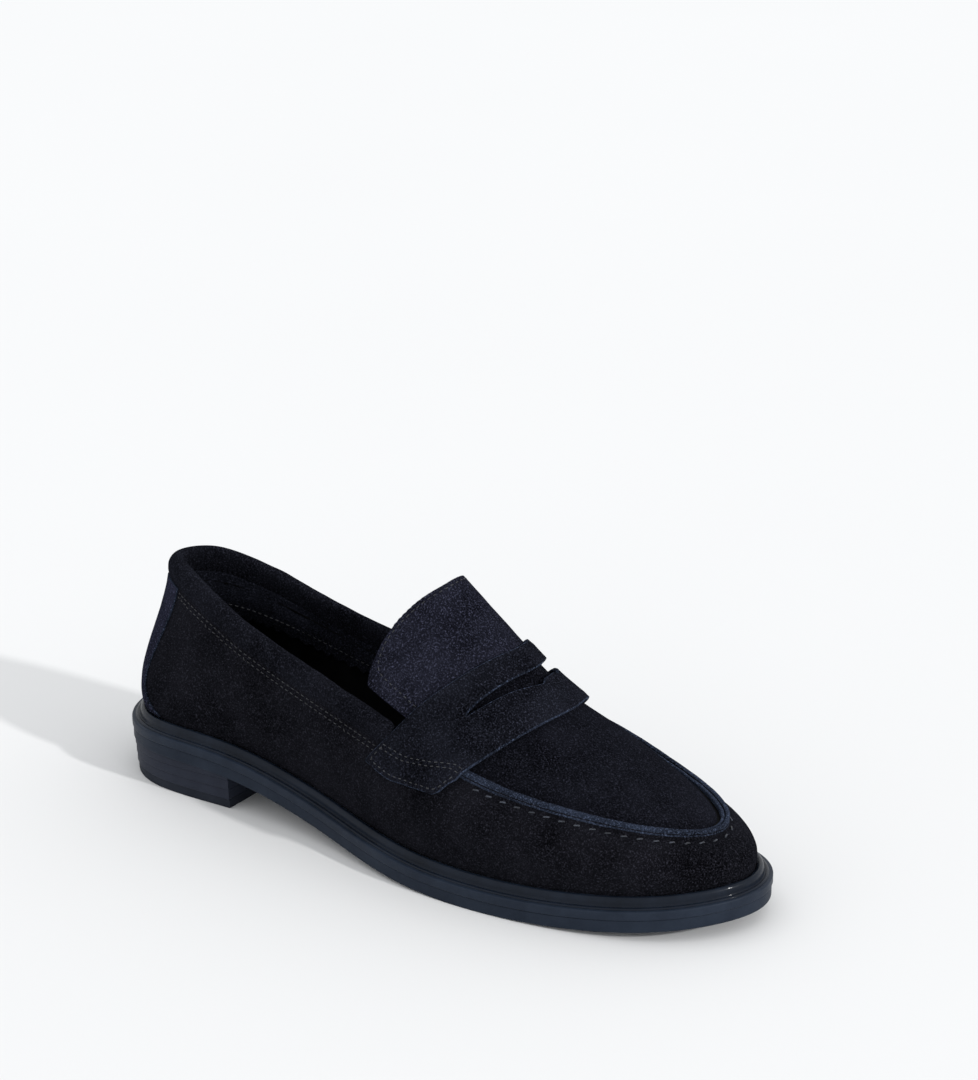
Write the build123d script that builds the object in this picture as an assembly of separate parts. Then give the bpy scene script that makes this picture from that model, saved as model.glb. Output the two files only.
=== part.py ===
from build123d import *
import os

import numpy as np

# Right-foot penny loafer in millimetres. While the shoe is drawn, x runs from the back
# of the heel to the toe, +y is the medial (inner) side and z = 0 is the ground.
# The finished parts are moved so that the origin is under the middle of the shoe.

# ---------------------------------------------------------------- driving dimensions
SOLE_LENGTH = 290.0          # heel to toe; the closed curve below bows about 1 mm past it
OUTSOLE_THICKNESS = 5.0
WELT_LAYER_THICKNESS = 3.8
BEAD_HEIGHT = 4.2            # storm welt, above the welt layer
FEATHER_INSET = 6.6          # sole edge to the foot of the upper

HEEL_BREAST_X = 66.0
HEEL_INSET = 1.6
TOP_PIECE_THICKNESS = 3.9
LIFT_THICKNESS = 3.75
WEDGE_BREAST = 1.2           # thin end of the wedge lift, at the heel breast

UPPER_THICKNESS = 1.7
LINING_THICKNESS = 1.1
STIFFENER_THICKNESS = 1.2    # heel counter and toe puff
LAYER_GAP = 0.2
RIDGE_HALF_WIDTH = 1.85      # raised apron seam: wall edge and apron edge side by side
RIDGE_HEIGHT = 3.5
COLLAR_HEIGHT = 9.5
STRAP_THICKNESS = 1.8
TONGUE_THICKNESS = 1.8

# Sole outline seen from above: heel, lateral side, toe, medial side, back to the heel.
OUTLINE = [
    (0, 0), (6.5, -20.5), (25, -33.5), (65, -34), (112, -36.5), (155, -46),
    (199, -47), (241, -39.5), (273, -24), (SOLE_LENGTH + 1, 5), (279, 29), (250, 41.5),
    (212, 48), (165, 43), (118, 34), (64, 32.5), (25, 32.5), (6.5, 20),
]
# Top edge of the upper at the same stations: collar crest, then the apron seam's crest.
RIM = [
    (17, 0, 90), (24.5, -9, 90.5), (39, -16, 88), (67, -22.5, 79), (107, -26.5, 67.8),
    (149, -32, 58.5), (191, -34.5, 49), (230, -28, 43.5), (257, -15.5, 39.5),
    (271, 5, 36), (262, 20, 38.5), (234, 30, 43), (202, 34.5, 49.5), (151, 32.5, 59),
    (107, 26, 67), (67, 22, 78), (39, 16, 87.5), (24.5, 9, 90.5),
]
# Underside of the sole, seen from the side: heel seat, waist, tread, toe spring.
SOLE_LINE = [(0, 14), (66, 14), (103, 8), (142, 2.6), (172, 0.4), (196, 0.03), (222, 0.8),
             (257, 3.6), (291, 7.2)]
# Shape of the upper's side wall between the welt and the seam near its top edge, by x:
# how far it bulges low down and high up, and how steeply it leaves each end.
WALL_STATIONS = [0, 66, 150, 200, 250, 292]
LOW_BULGE = [6, 4, 4, 4, 3.5, 1.5]
LOW_RISE = [0.30, 0.35, 0.40, 0.45, 0.50, 0.50]
HIGH_BULGE = [3, 3.5, 6, 9, 8, 6]
HIGH_DROP = [0.35, 0.35, 0.30, 0.22, 0.18, 0.12]

# Stations of the instep, from the tongue forward to the toe: the two points of the rim
# that a cross-section joins (as x on the lateral and on the medial side) and its crest.
INSTEP_STATIONS = [
    (128, 129, (153, 8, 104)),
    (149, 151, (180, 9, 81.5)),
    (183, 188, (204, 8, 63)),
    (215, 217, (229, 8, 52.5)),
    (243, 245, (251, 8, 45)),
    (261, 262, (265, 7, 40)),
]
# A cross-section leans forward as it climbs: x follows a sharper arch than height does.
CROWN_POWER = np.array([1.6, 2.0, 2.7])


# ---------------------------------------------------------------- curves and surfaces
class Curve:
    """Smooth cubic curve through points at the given knots, open or closed."""

    def __init__(self, knots, points, closed=False):
        self.t = np.array(knots, float)
        self.p = np.array(points, float)
        self.closed = closed
        count = len(self.p)
        h = np.diff(self.t)
        shape = (-1,) + (1,) * (self.p.ndim - 1)
        rise = np.diff(np.concatenate([self.p, self.p[:1]]) if closed else self.p, axis=0)
        slope = rise / h.reshape(shape)
        system = np.zeros((count, count))
        right = np.zeros_like(self.p)
        for i in range(count):
            if closed or 0 < i < count - 1:
                before, after = h[i - 1], h[i % len(h)]
                system[i, i - 1] += 1 / before
                system[i, i] += 2 / before + 2 / after
                system[i, (i + 1) % count] += 1 / after
                right[i] = 3 * (slope[i - 1] / before + slope[i % len(h)] / after)
            else:
                other = 1 if i == 0 else count - 2
                system[i, i] = 2
                system[i, other] = 1
                right[i] = 3 * slope[min(i, count - 2)]
        self.m = np.linalg.solve(system, right.reshape(count, -1)).reshape(self.p.shape)

    def __call__(self, t):
        t = np.asarray(t, float)
        period = self.t[-1] - self.t[0]
        if self.closed:
            t = self.t[0] + np.mod(t - self.t[0], period)
        else:
            t = np.clip(t, self.t[0], self.t[-1])
        i = np.clip(np.searchsorted(self.t, t, side="right") - 1, 0, len(self.t) - 2)
        j = (i + 1) % len(self.p)
        h = self.t[i + 1] - self.t[i]
        s = (t - self.t[i]) / h
        if self.p.ndim > 1:
            h = h.reshape(h.shape + (1,) * (self.p.ndim - 1))
            s = s.reshape(h.shape)
        a = self.p[i] * (1 + 2 * s) * (1 - s) ** 2 + self.m[i] * h * s * (1 - s) ** 2
        b = self.p[j] * (3 - 2 * s) * s ** 2 - self.m[j] * h * s ** 2 * (1 - s)
        return a + b


UP = np.array([0.0, 0.0, 1.0])
RING_STEP = 1e-4
_corners = np.array(OUTLINE + OUTLINE[:1], float)
_spans = np.sqrt(np.linalg.norm(np.diff(_corners, axis=0), axis=1))
RING_KNOTS = np.concatenate([[0], np.cumsum(_spans)]) / _spans.sum()

outline = Curve(RING_KNOTS, OUTLINE, closed=True)
rim = Curve(RING_KNOTS, RIM, closed=True)
sole_line = Curve([x for x, _ in SOLE_LINE], [z for _, z in SOLE_LINE])
low_bulge, low_rise, high_bulge, high_drop = (
    Curve(WALL_STATIONS, values) for values in (LOW_BULGE, LOW_RISE, HIGH_BULGE, HIGH_DROP)
)


def outward(u):
    """Horizontal unit vectors that point out of the shoe at ring positions u."""
    ahead = outline(u + RING_STEP) - outline(u - RING_STEP)
    normal = np.stack([ahead[..., 1], -ahead[..., 0], 0 * ahead[..., 0]], -1)
    return normal / np.linalg.norm(normal, axis=-1, keepdims=True)


def ramp(value, low, high):
    """Smooth step from 0 at low to 1 at high."""
    s = np.clip((value - low) / (high - low), 0, 1)
    return s * s * (3 - 2 * s)


def edge_point(u, inset, height):
    """Points on the sole, inside its edge by inset and above its underside by height."""
    plan = outline(u)
    flat = np.stack([plan[..., 0], plan[..., 1], 0 * plan[..., 0]], -1)
    point = flat - outward(u) * np.asarray(inset)[..., None]
    point[..., 2] = sole_line(point[..., 0]) + height
    return point


def ring_at(x, side):
    """Ring position of the rim at a given x, on side -1 (lateral) or +1 (medial)."""
    grid = np.linspace(0.02, 0.98, 1500)
    points = rim(grid)
    tip = grid[points[:, 0].argmax()]
    mask = grid < tip if side < 0 else grid > tip
    order = points[mask, 0].argsort()
    return np.interp(x, points[mask, 0][order], grid[mask][order])


# The strap crosses the rim between instep stations 1 and 2.
STRAP_REAR_LATERAL = ring_at(INSTEP_STATIONS[1][0], -1)
STRAP_REAR_MEDIAL = ring_at(INSTEP_STATIONS[1][1], +1)
STRAP_FRONT_LATERAL = ring_at(INSTEP_STATIONS[2][0], -1)
STRAP_FRONT_MEDIAL = ring_at(INSTEP_STATIONS[2][1], +1)


def collar_share(u):
    """1 along the collar, falling to 0 under the strap."""
    u = np.mod(u, 1)
    lateral = 1 - ramp(u, STRAP_REAR_LATERAL, STRAP_FRONT_LATERAL)
    medial = ramp(u, STRAP_FRONT_MEDIAL, STRAP_REAR_MEDIAL)
    return np.where(u < 0.5, lateral, medial)


WALL_FOOT = OUTSOLE_THICKNESS + WELT_LAYER_THICKNESS + 0.1
COLLAR_FLARE = 0.6           # the collar's seam stands this much further out


def feather(u):
    """Foot of the upper's outer surface, behind the storm welt's bead."""
    return edge_point(u, FEATHER_INSET + 0 * u, WALL_FOOT)


def seam(u):
    """Line under the collar band or under the raised apron seam."""
    share = collar_share(u)
    drop = RIDGE_HEIGHT + (COLLAR_HEIGHT - RIDGE_HEIGHT) * share
    out = RIDGE_HALF_WIDTH + COLLAR_FLARE * share
    return rim(u) + outward(u) * out[..., None] - UP * drop[..., None]


def wall_grid(u, rows, low=0.0, high=1.0, lip=True):
    """Outer surface of the side wall, (ring, row, xyz), evenly spaced along each profile.

    The profile is upright behind the bead, then one Bezier up to the seam line, then the
    upright edge of the apron seam, which fades out where the collar takes over. low and
    high keep a share of its length.
    """
    foot = feather(u)
    join = foot + UP * BEAD_HEIGHT
    top = seam(u)
    n = outward(u)
    x = foot[:, 0]
    height = (top - join)[:, 2]
    first = join + n * low_bulge(x)[:, None] + UP * (low_rise(x) * height)[:, None]
    last = top + n * high_bulge(x)[:, None] - UP * (high_drop(x) * height)[:, None]
    s = np.linspace(0, 1, 40)[None, :, None]
    dome = (join[:, None] * (1 - s) ** 3 + 3 * first[:, None] * s * (1 - s) ** 2
            + 3 * last[:, None] * s ** 2 * (1 - s) + top[:, None] * s ** 3)
    parts = [foot[:, None], dome]
    if lip:
        edge = UP * (RIDGE_HEIGHT * (1 - collar_share(u)))[:, None]
        parts.append(top[:, None] + edge[:, None] * np.linspace(0.1, 1, 8)[None, :, None])
    return even_rows(np.concatenate(parts, axis=1), rows, low, high)


def even_rows(profiles, rows, low=0.0, high=1.0):
    """Each profile resampled to evenly spaced rows between two shares of its length."""
    steps = np.linalg.norm(np.diff(profiles, axis=1), axis=-1)
    length = np.concatenate([np.zeros((len(profiles), 1)), np.cumsum(steps, axis=1)], axis=1)
    result = np.empty((len(profiles), rows, 3))
    for i, profile in enumerate(profiles):
        want = np.linspace(low, high, rows) * length[i, -1]
        for axis in range(3):
            result[i, :, axis] = np.interp(want, length[i], profile[:, axis])
    return result


def normals(grid):
    """Unit normals of a point grid, first direction crossed with second."""
    cross = np.cross(np.gradient(grid, axis=0), np.gradient(grid, axis=1))
    return cross / np.linalg.norm(cross, axis=-1, keepdims=True)


station_lateral = Curve(range(len(INSTEP_STATIONS)), [ring_at(p, -1) for p, _, _ in INSTEP_STATIONS])
station_medial = Curve(range(len(INSTEP_STATIONS)), [ring_at(p, +1) for _, p, _ in INSTEP_STATIONS])
station_crest = Curve(range(len(INSTEP_STATIONS)), [crest for _, _, crest in INSTEP_STATIONS])
LAST_STATION = len(INSTEP_STATIONS) - 1
EDGE_TUCK = 0.05             # the instep starts this far inside the rim
REAR_STEP = 0.02             # over which the slope at station 0 is taken


def instep(k, w):
    """Crowned top of the shoe at stations k and shares w of its width, lateral to medial.

    Before station 0 the surface runs on straight.
    """
    k, w = np.broadcast_arrays(np.asarray(k, float), np.asarray(w, float))
    start = np.maximum(k, 0)
    a = station_lateral(start)
    b = station_medial(start)
    left = rim(a) - outward(a) * EDGE_TUCK
    right = rim(b) - outward(b) * EDGE_TUCK
    crown = 1 - np.abs(2 * w - 1)[..., None] ** CROWN_POWER
    share = w[..., None]
    point = left * (1 - share) + right * share
    point = point + crown * (station_crest(start) - (left + right) / 2)
    if (k < 0).any():
        ahead = instep(np.maximum(k, 0) + REAR_STEP, w)
        point = point + (ahead - point) * (np.minimum(k, 0) / REAR_STEP)[..., None]
    return point


# ---------------------------------------------------------------- solids
def skin(grid):
    """Spline face through a grid of points."""
    rows = [[Vector(*point) for point in row] for row in grid]
    return Face.make_surface_from_array_of_points(rows, tol=0.02)


def sheet(outer, inner):
    """Solid between two point grids of the same shape, closed by ruled sides."""
    top = skin(outer)
    bottom = skin(inner)
    sides = [Face.make_surface_from_curves(a, b) for a, b in zip(top.edges(), bottom.edges())]
    solid = Solid(Shell([top, bottom] + sides))
    return solid if solid.volume > 0 else Solid(Shell([-top, -bottom] + [-f for f in sides]))


def inside(grid, depth):
    """The grid moved inward, against its normals, by depth."""
    return grid - normals(grid) * depth


def layer(grid, near, far):
    """Solid layer of the shoe's side between two depths below a surface grid."""
    return sheet(inside(grid, near), inside(grid, far))


HALF_SPAN = 60.0             # wider than the shoe on either side
CUT_HEIGHT = 60.0            # higher than the sole stack


def profile_edge(points):
    """Edge of a side profile through (x, z) points: a line where they are in line."""
    x, z = np.transpose(points)
    straight = np.abs(z - np.interp(x, x[[0, -1]], z[[0, -1]])).max() < 1e-6
    vectors = [Vector(a, -HALF_SPAN, b) for a, b in points]
    return Edge.make_line(vectors[0], vectors[-1]) if straight else Edge.make_spline(vectors)


def slab(low, high, inset, x_low=-5.0, x_high=SOLE_LENGTH + 5):
    """Piece of the sole stack: between two height functions of x, inside the outline."""
    x = np.linspace(x_low, x_high, 25)
    under = [(a, z) for a, z in zip(x, low(x))]
    over = [(a, z) for a, z in zip(x, high(x))]
    edges = [profile_edge(under), profile_edge(over)]
    for a, b in ((under[0], over[0]), (under[-1], over[-1])):
        edges.append(Edge.make_line((a[0], -HALF_SPAN, a[1]), (b[0], -HALF_SPAN, b[1])))
    side = Face(Wire(edges))
    block = Solid.extrude(side, Vector(0, 2 * HALF_SPAN, 0))
    u = np.linspace(0, 1, 73)[:-1]
    plan = edge_point(u, inset + 0 * u, 0)
    ring = Edge.make_spline([Vector(a, b, -1) for a, b, _ in plan], periodic=True)
    prism = Solid.extrude(Face(Wire([ring])), Vector(0, 0, CUT_HEIGHT))
    return block.intersect(prism)[0]


def level(height):
    """Function of x for a surface at one height above the underside of the sole."""
    return lambda x: sole_line(x) + height


def shifted(line, height):
    """Height function raised by a constant."""
    return lambda x: line(x) + height


STITCH_RADIUS = 0.3
STITCH_GAP = 0.12            # a stitch stands this much off its surface


def stitches(points, out, length):
    """Row of short straight stitches centred on points, lying just above a surface."""
    dashes = []
    for before, point, after, normal in zip(points[:-2], points[1:-1], points[2:], out[1:-1]):
        along = (after - before) / np.linalg.norm(after - before)
        start = point + normal * (STITCH_RADIUS + STITCH_GAP) - along * length / 2
        plane = Plane(origin=Vector(*start), z_dir=Vector(*along))
        dashes.append(Solid.make_cylinder(STITCH_RADIUS, length, plane))
    return dashes


def spaced(points, pitch):
    """Indices that step along a dense line of points by about one pitch."""
    steps = np.linalg.norm(np.diff(points, axis=0), axis=1)
    length = np.concatenate([[0], np.cumsum(steps)])
    count = max(int(length[-1] / pitch), 3)
    return np.searchsorted(length, np.linspace(0, length[-1], count)).clip(0, len(points) - 1)


# ---------------------------------------------------------------- sole and heel
WELT_TOP = OUTSOLE_THICKNESS + WELT_LAYER_THICKNESS
BOARD_INSET = 11.4           # sole edge to the parts inside the lasted upper
FILLER_TOP = WELT_TOP + 3.0
BOARD_TOP = FILLER_TOP + 2.0
PAD_THICKNESS = 2.5
SOCK_THICKNESS = 1.1
GLUE_LINE = 0.05
OUTSOLE_INSET = 0.45         # the welt layer stands this far past the outsole
WELT_JOINT = 0.76            # ring position where the storm welt's two ends meet
WELT_JOINT_GAP = 0.001
# Section of the storm welt: inset from the sole's edge and height above the welt layer.
STORM_WELT_SECTION = [
    (1.6, 0.3), (2.4, 0.7), (3.1, 0.8), (3.4, 1.8), (3.7, 3.2), (4.7, BEAD_HEIGHT),
    (5.8, BEAD_HEIGHT), (FEATHER_INSET - 0.1, BEAD_HEIGHT - 0.5),
]


def make_outsole():
    return slab(level(0), level(OUTSOLE_THICKNESS), OUTSOLE_INSET)


def make_welt_layer():
    return slab(level(OUTSOLE_THICKNESS + GLUE_LINE), level(WELT_TOP), 0)


def make_storm_welt():
    """Rounded bead against the upper, with a shallow groove and a low rim outside it."""
    u = np.linspace(WELT_JOINT, WELT_JOINT + 1 - WELT_JOINT_GAP, 90)
    section = Curve(range(len(STORM_WELT_SECTION)), STORM_WELT_SECTION)
    seat = WELT_TOP + GLUE_LINE / 2
    top = []
    bottom = []
    for t in np.linspace(0, len(STORM_WELT_SECTION) - 1, 15):
        inset, height = section(t)
        top.append(edge_point(u, inset + 0 * u, seat + height))
        bottom.append(edge_point(u, inset + 0 * u, seat))
    return sheet(np.stack(top, 1), np.stack(bottom, 1))


# Inset of the top piece, the two lifts and the wedge, on top of HEEL_INSET.
HEEL_TAPER = [0.5, 0.0, -0.3, -0.6]


def make_heel():
    """Top piece, two lifts and the wedge that meets the curved heel seat."""
    def plane_at(back, breast):
        return lambda x: back + (breast - back) * np.asarray(x) / HEEL_BREAST_X

    heel_height = SOLE_LINE[0][1]
    top = TOP_PIECE_THICKNESS
    lift = LIFT_THICKNESS
    wedge_low = plane_at(top + 2 * lift, heel_height - WEDGE_BREAST)
    middle = plane_at(top + lift, (top + heel_height - WEDGE_BREAST) / 2)
    lines = [plane_at(0, 0), plane_at(top, top), middle, wedge_low, level(0)]
    names = ["heel_top_piece", "heel_lift_lower", "heel_lift_upper", "heel_wedge"]
    parts = {}
    for i, name in enumerate(names):
        low = shifted(lines[i], GLUE_LINE if i else 0)
        high = shifted(lines[i + 1], -GLUE_LINE)
        parts[name] = slab(low, high, HEEL_INSET + HEEL_TAPER[i], x_high=HEEL_BREAST_X)
    return parts


SHANK_WIDTH = 13.0
SHANK_THICKNESS = 1.3
SHANK_SEAT = 0.85            # cork under the shank
SHANK_FIT = 0.05             # clearance of its pocket in the cork
SHANK_X = (52.0, 158.0)
HEEL_PAD_X = (14.0, 96.0)
PAD_TAPER = 30.0             # length over which the pad thins out
PAD_EDGE = 0.3               # thickness that it thins out to
PAD_INSET = 0.6
SOCK_INSET = 0.2


def shank_block(grow):
    low = WELT_TOP + SHANK_SEAT - grow
    block = slab(level(low), level(low + SHANK_THICKNESS + 2 * grow), BOARD_INSET,
                 SHANK_X[0] - grow, SHANK_X[1] + grow)
    width = SHANK_WIDTH + 2 * grow
    strip = Solid.make_box(SOLE_LENGTH, width, CUT_HEIGHT, Plane((0, -width / 2, -1)))
    return block.intersect(strip)[0]


def pad_share(x):
    """1 over the heel pad, easing to 0 where the sock lies on the insole board."""
    return 1 - ramp(x, HEEL_PAD_X[1] - PAD_TAPER, HEEL_PAD_X[1])


def pad_top(x):
    return sole_line(x) + BOARD_TOP + PAD_EDGE + (PAD_THICKNESS - PAD_EDGE) * pad_share(x)


def make_footbed():
    filler = slab(level(WELT_TOP + GLUE_LINE), level(FILLER_TOP), BOARD_INSET)
    pad = slab(level(BOARD_TOP + GLUE_LINE), pad_top, BOARD_INSET + PAD_INSET, *HEEL_PAD_X)
    sock_low = shifted(pad_top, GLUE_LINE)
    sock_high = shifted(sock_low, SOCK_THICKNESS)
    return {
        "bottom_filler": (filler - shank_block(SHANK_FIT)).solids()[0],
        "steel_shank": shank_block(0),
        "insole_board": slab(level(FILLER_TOP + GLUE_LINE), level(BOARD_TOP), BOARD_INSET),
        "heel_pad": pad,
        "sock_liner": slab(sock_low, sock_high, BOARD_INSET + SOCK_INSET),
    }


# ---------------------------------------------------------------- upper
LINING_DEPTH = UPPER_THICKNESS + STIFFENER_THICKNESS + 2 * LAYER_GAP
LINING_BACK = LINING_DEPTH + LINING_THICKNESS
COLLAR_START = STRAP_REAR_MEDIAL + 0.005
COLLAR_END = STRAP_REAR_LATERAL - 0.005
HEEL_SEAM = 0.0015           # ring position of the wall's ends, either side of the heel seam
WALL_RING = np.linspace(HEEL_SEAM, 1 - HEEL_SEAM, 96)
LINING_TOP = 0.93            # shares of the wall's height from here on
COUNTER_RING = (0.86, 0.14)
COUNTER_SPAN = (0.04, 0.72)
PUFF_RING = (0.40, 0.62)
PUFF_SPAN = (0.06, 0.86)
FACING_SPAN = (0.64, 0.91)
FACING_THICKNESS = 0.9
BACKSTAY_SPAN = (0.10, 0.995)
BACKSTAY_FOOT = 0.22         # height of its spread foot
BACKSTAY_HALF = 0.060        # half width, in ring positions
BACKSTAY_SPREAD = 0.030      # added to it at the welt
BACKSTAY_LIFT = (1.2, 0.15)  # its outside and inside, off the wall


def around_heel(start, end, count):
    """Ring positions from the medial side round the heel to the lateral side."""
    return np.linspace(start, 1 + end, count)


def make_side_wall():
    """One strip of suede from the heel seam round the toe and back."""
    return layer(wall_grid(WALL_RING, 12), 0, UPPER_THICKNESS)


def make_side_lining():
    grid = wall_grid(WALL_RING, 12, 0.0, LINING_TOP, lip=False)
    return layer(grid, LINING_DEPTH, LINING_BACK)


def make_heel_counter():
    grid = wall_grid(around_heel(*COUNTER_RING, 48), 16, *COUNTER_SPAN, lip=False)
    return layer(grid, UPPER_THICKNESS + LAYER_GAP, LINING_DEPTH - LAYER_GAP)


def make_toe_puff():
    grid = wall_grid(np.linspace(*PUFF_RING, 34), 9, *PUFF_SPAN, lip=False)
    return layer(grid, UPPER_THICKNESS + LAYER_GAP, LINING_DEPTH - LAYER_GAP)


def make_inner_facing():
    """Suede facing inside the collar, down to a pinked edge."""
    grid = wall_grid(around_heel(COLLAR_START, COLLAR_END, 60), 6, *FACING_SPAN, lip=False)
    near = LINING_BACK + LAYER_GAP
    return layer(grid, near, near + FACING_THICKNESS)


def make_backstay():
    """Strip over the heel seam and round the back, spreading to a foot at the welt."""
    rows = np.linspace(*BACKSTAY_SPAN, 12)
    near_foot = np.clip(1 - (rows - BACKSTAY_SPAN[0]) / BACKSTAY_FOOT, 0, 1)
    half = BACKSTAY_HALF + BACKSTAY_SPREAD * near_foot ** 2
    lines = []
    for row, reach in zip(rows, half):
        u = np.linspace(-reach, reach, 29)
        lines.append(wall_grid(u, 2, row - 0.004, row, lip=False)[:, 1])
    return layer(np.stack(lines, 1), *(-lift for lift in BACKSTAY_LIFT))


# Cross-section of the padded collar: across (outward) and up from the seam under it.
COLLAR_SECTION = [(0.2, 0.1), (1.7, 3), (2.2, 6.4), (0.8, 9.2), (-1.2, 9.8), (-3.2, 8.3),
                  (-3.9, 4.5), (-3.7, -1.2)]
COLLAR_KNOTS = range(len(COLLAR_SECTION))
COLLAR_SKIN = 1.1
FOAM_DEPTH = 1.3
FOAM_OUTER = (0.3, 3.6)      # the foam's two sides, as knots of the section
FOAM_INNER = (6.4, 4.4)


def collar_grid(u, depth, start=0, end=COLLAR_KNOTS[-1], rows=19):
    """Surface of the collar at a depth under its outside, (ring, row, xyz)."""
    base = seam(u)
    rise = rim(u) - base
    rise = rise / np.linalg.norm(rise, axis=1, keepdims=True)
    section = Curve(COLLAR_KNOTS, COLLAR_SECTION)
    t = np.linspace(start, end, rows)
    point = section(t)
    tangent = section(t + 0.01) - section(t - 0.01)
    tangent /= np.linalg.norm(tangent, axis=1, keepdims=True)
    point = point + depth * np.stack([-tangent[:, 1], tangent[:, 0]], 1)
    across = outward(u)[:, None] * point[None, :, :1]
    return base[:, None] + across + rise[:, None] * point[None, :, 1:]


def make_collar():
    u = around_heel(COLLAR_START, COLLAR_END, 70)
    return sheet(collar_grid(u, 0), collar_grid(u, COLLAR_SKIN))


def make_collar_foam():
    """Foam roll inside the collar, a full section between the collar's two legs."""
    u = around_heel(COLLAR_START + 0.002, COLLAR_END - 0.002, 70)
    outer = collar_grid(u, FOAM_DEPTH, *FOAM_OUTER, 10)
    inner = collar_grid(u, FOAM_DEPTH, *FOAM_INNER, 10)
    return sheet(outer, inner)


STRAP_REAR = 1.03            # instep station of the strap's rear edge
STRAP_FRONT = 2.05           # and of its front edge
STRAP_ARCH = 0.10            # over the crest the strap runs this far back


def strap_station(share, w):
    """Instep station of the strap at shares of its own width and of the instep's."""
    return STRAP_REAR + (STRAP_FRONT - STRAP_REAR) * share - STRAP_ARCH * (4 * w * (1 - w)) ** 3


APRON_TUCK = 0.04            # its hidden rear edge, in stations ahead of the strap's rear
APRON_DROP = 0.2             # below the instep surface
APRON_DIP = 1.1              # further down where the strap presses on it
APRON_SHOULDER = 3.2         # and this much more along its lateral edge
SHOULDER_WIDTH = 0.16
DIP_FADE = (1.9, 2.5)        # stations where the dip and the shoulder run out
SHOULDER_FADE = (1.3, 2.0)
APRON_THICKNESS = 1.95       # straight down, on a sloping surface
APRON_LINING_DROP = 2.25
APRON_LINING_THICKNESS = 1.25


def apron_grid(columns=25, rows=26):
    """Apron surface from under the strap to the toe, whose last row is the rim's own arc."""
    w = np.linspace(0, 1, columns)
    rear = strap_station(0, w) + APRON_TUCK
    k = rear + (LAST_STATION - rear) * np.linspace(0, 1, rows)[:, None]
    grid = instep(k, w)
    a = station_lateral(LAST_STATION)
    u = a + (station_medial(LAST_STATION) - a) * w
    toe = rim(u) - outward(u) * EDGE_TUCK
    grid = grid + ramp(k, LAST_STATION - 2, LAST_STATION)[..., None] * (toe - grid[-1])
    crown = 1 - (2 * w - 1) ** 4
    dip = APRON_DIP * (1 - ramp(k, *DIP_FADE)) * crown
    beside = 1 - ramp(w, 0, SHOULDER_WIDTH)
    dip = dip + APRON_SHOULDER * (1 - ramp(k, *SHOULDER_FADE)) * beside
    return grid - UP * (APRON_DROP + dip[..., None])


def make_apron():
    grid = apron_grid()
    return sheet(grid, grid - UP * APRON_THICKNESS)


def make_apron_lining():
    grid = apron_grid()[:-1, 1:-1] - UP * APRON_LINING_DROP
    return sheet(grid, grid - UP * APRON_LINING_THICKNESS)


# ---------------------------------------------------------------- saddle strap
FLAP_SHARES = [0, 0.4, 0.75, 0.9, 1]      # across a flap, from its rear edge to its front
FLAP_LENGTH = [8.2, 9.2, 11.0, 11.3, 7.2]  # below the rim at those shares
FLAP_TOP = 1.5                            # where the flap leaves the wall for the instep
FLAP_SWING = (0.008, 0.002)               # ring distance that its rear and front edge trail
FLAP_FLARE = 0.006                        # and how much more they trail at the bottom
FLAP_OFFSET = 0.9                         # off the wall, besides the strap's own gap
STRAP_GAP = 0.5
CREST_LIFT = 0.4                          # the strap bridges the instep's crest
STRAP_COLUMNS = 61
SMOOTHING_PASSES = 4
flap_reach = Curve(FLAP_SHARES, FLAP_LENGTH)


def flap_points(u, drop):
    """Points beside the wall at ring positions u, by distance down from its top edge."""
    profile = wall_grid(u, 120)
    steps = np.linalg.norm(np.diff(profile[0], axis=0), axis=1)
    length = np.concatenate([[0], np.cumsum(steps)])
    row = np.searchsorted(length, length[-1] - drop)
    return profile[np.arange(len(u)), row] + outward(u) * FLAP_OFFSET


def strap_grid(depth, rows=13):
    """Surface of the strap, from the lateral flap over the instep to the medial flap."""
    lines = []
    for share in np.linspace(0, 1, rows):
        reach = flap_reach(share)
        drop = np.linspace(reach, FLAP_TOP, 8)
        trail = FLAP_SWING[0] + (FLAP_SWING[1] - FLAP_SWING[0]) * share
        trail = trail + FLAP_FLARE * (drop - FLAP_TOP) / (reach - FLAP_TOP)
        k = strap_station(share, 0.0)
        lateral = flap_points(station_lateral(k) - trail, drop)
        medial = flap_points(station_medial(k) + trail, drop)
        w = np.linspace(0, 1, 31)[2:-2]
        top = instep(strap_station(share, w), w) + UP * CREST_LIFT
        lines.append(np.concatenate([lateral, top, medial[::-1]]))
    grid = even_rows(np.array(lines), STRAP_COLUMNS)
    for _ in range(SMOOTHING_PASSES):
        grid[:, 1:-1] = (grid[:, :-2] + 2 * grid[:, 1:-1] + grid[:, 2:]) / 4
    return grid - normals(grid) * depth


SLOT_CENTRE = 0.57           # along the strap, over the instep's crest
SLOT_HALF = 0.295
SLOT_MIDDLE = 0.46           # across the strap, as a share of its width from the rear edge
SLOT_RISE = 0.165
SLOT_FALL = 0.09
TAB_HALF = 0.034
TAB_TOP = 0.485
SLOT_END = 0.99              # the slot's tips are cut off this far out
TAB_OVERLAP = 0.0005
CUT_MARGIN = 1.5


def slot_upper(along):
    s = (along - SLOT_CENTRE) / SLOT_HALF
    return SLOT_MIDDLE - SLOT_RISE * np.sqrt((1 - s ** 2).clip(0))


def slot_lower(along):
    s = (along - SLOT_CENTRE) / SLOT_HALF
    return SLOT_MIDDLE + SLOT_FALL * (1 - s ** 2).clip(0) ** 8


def tab_edge(along):
    return TAB_TOP + 0 * along


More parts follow.
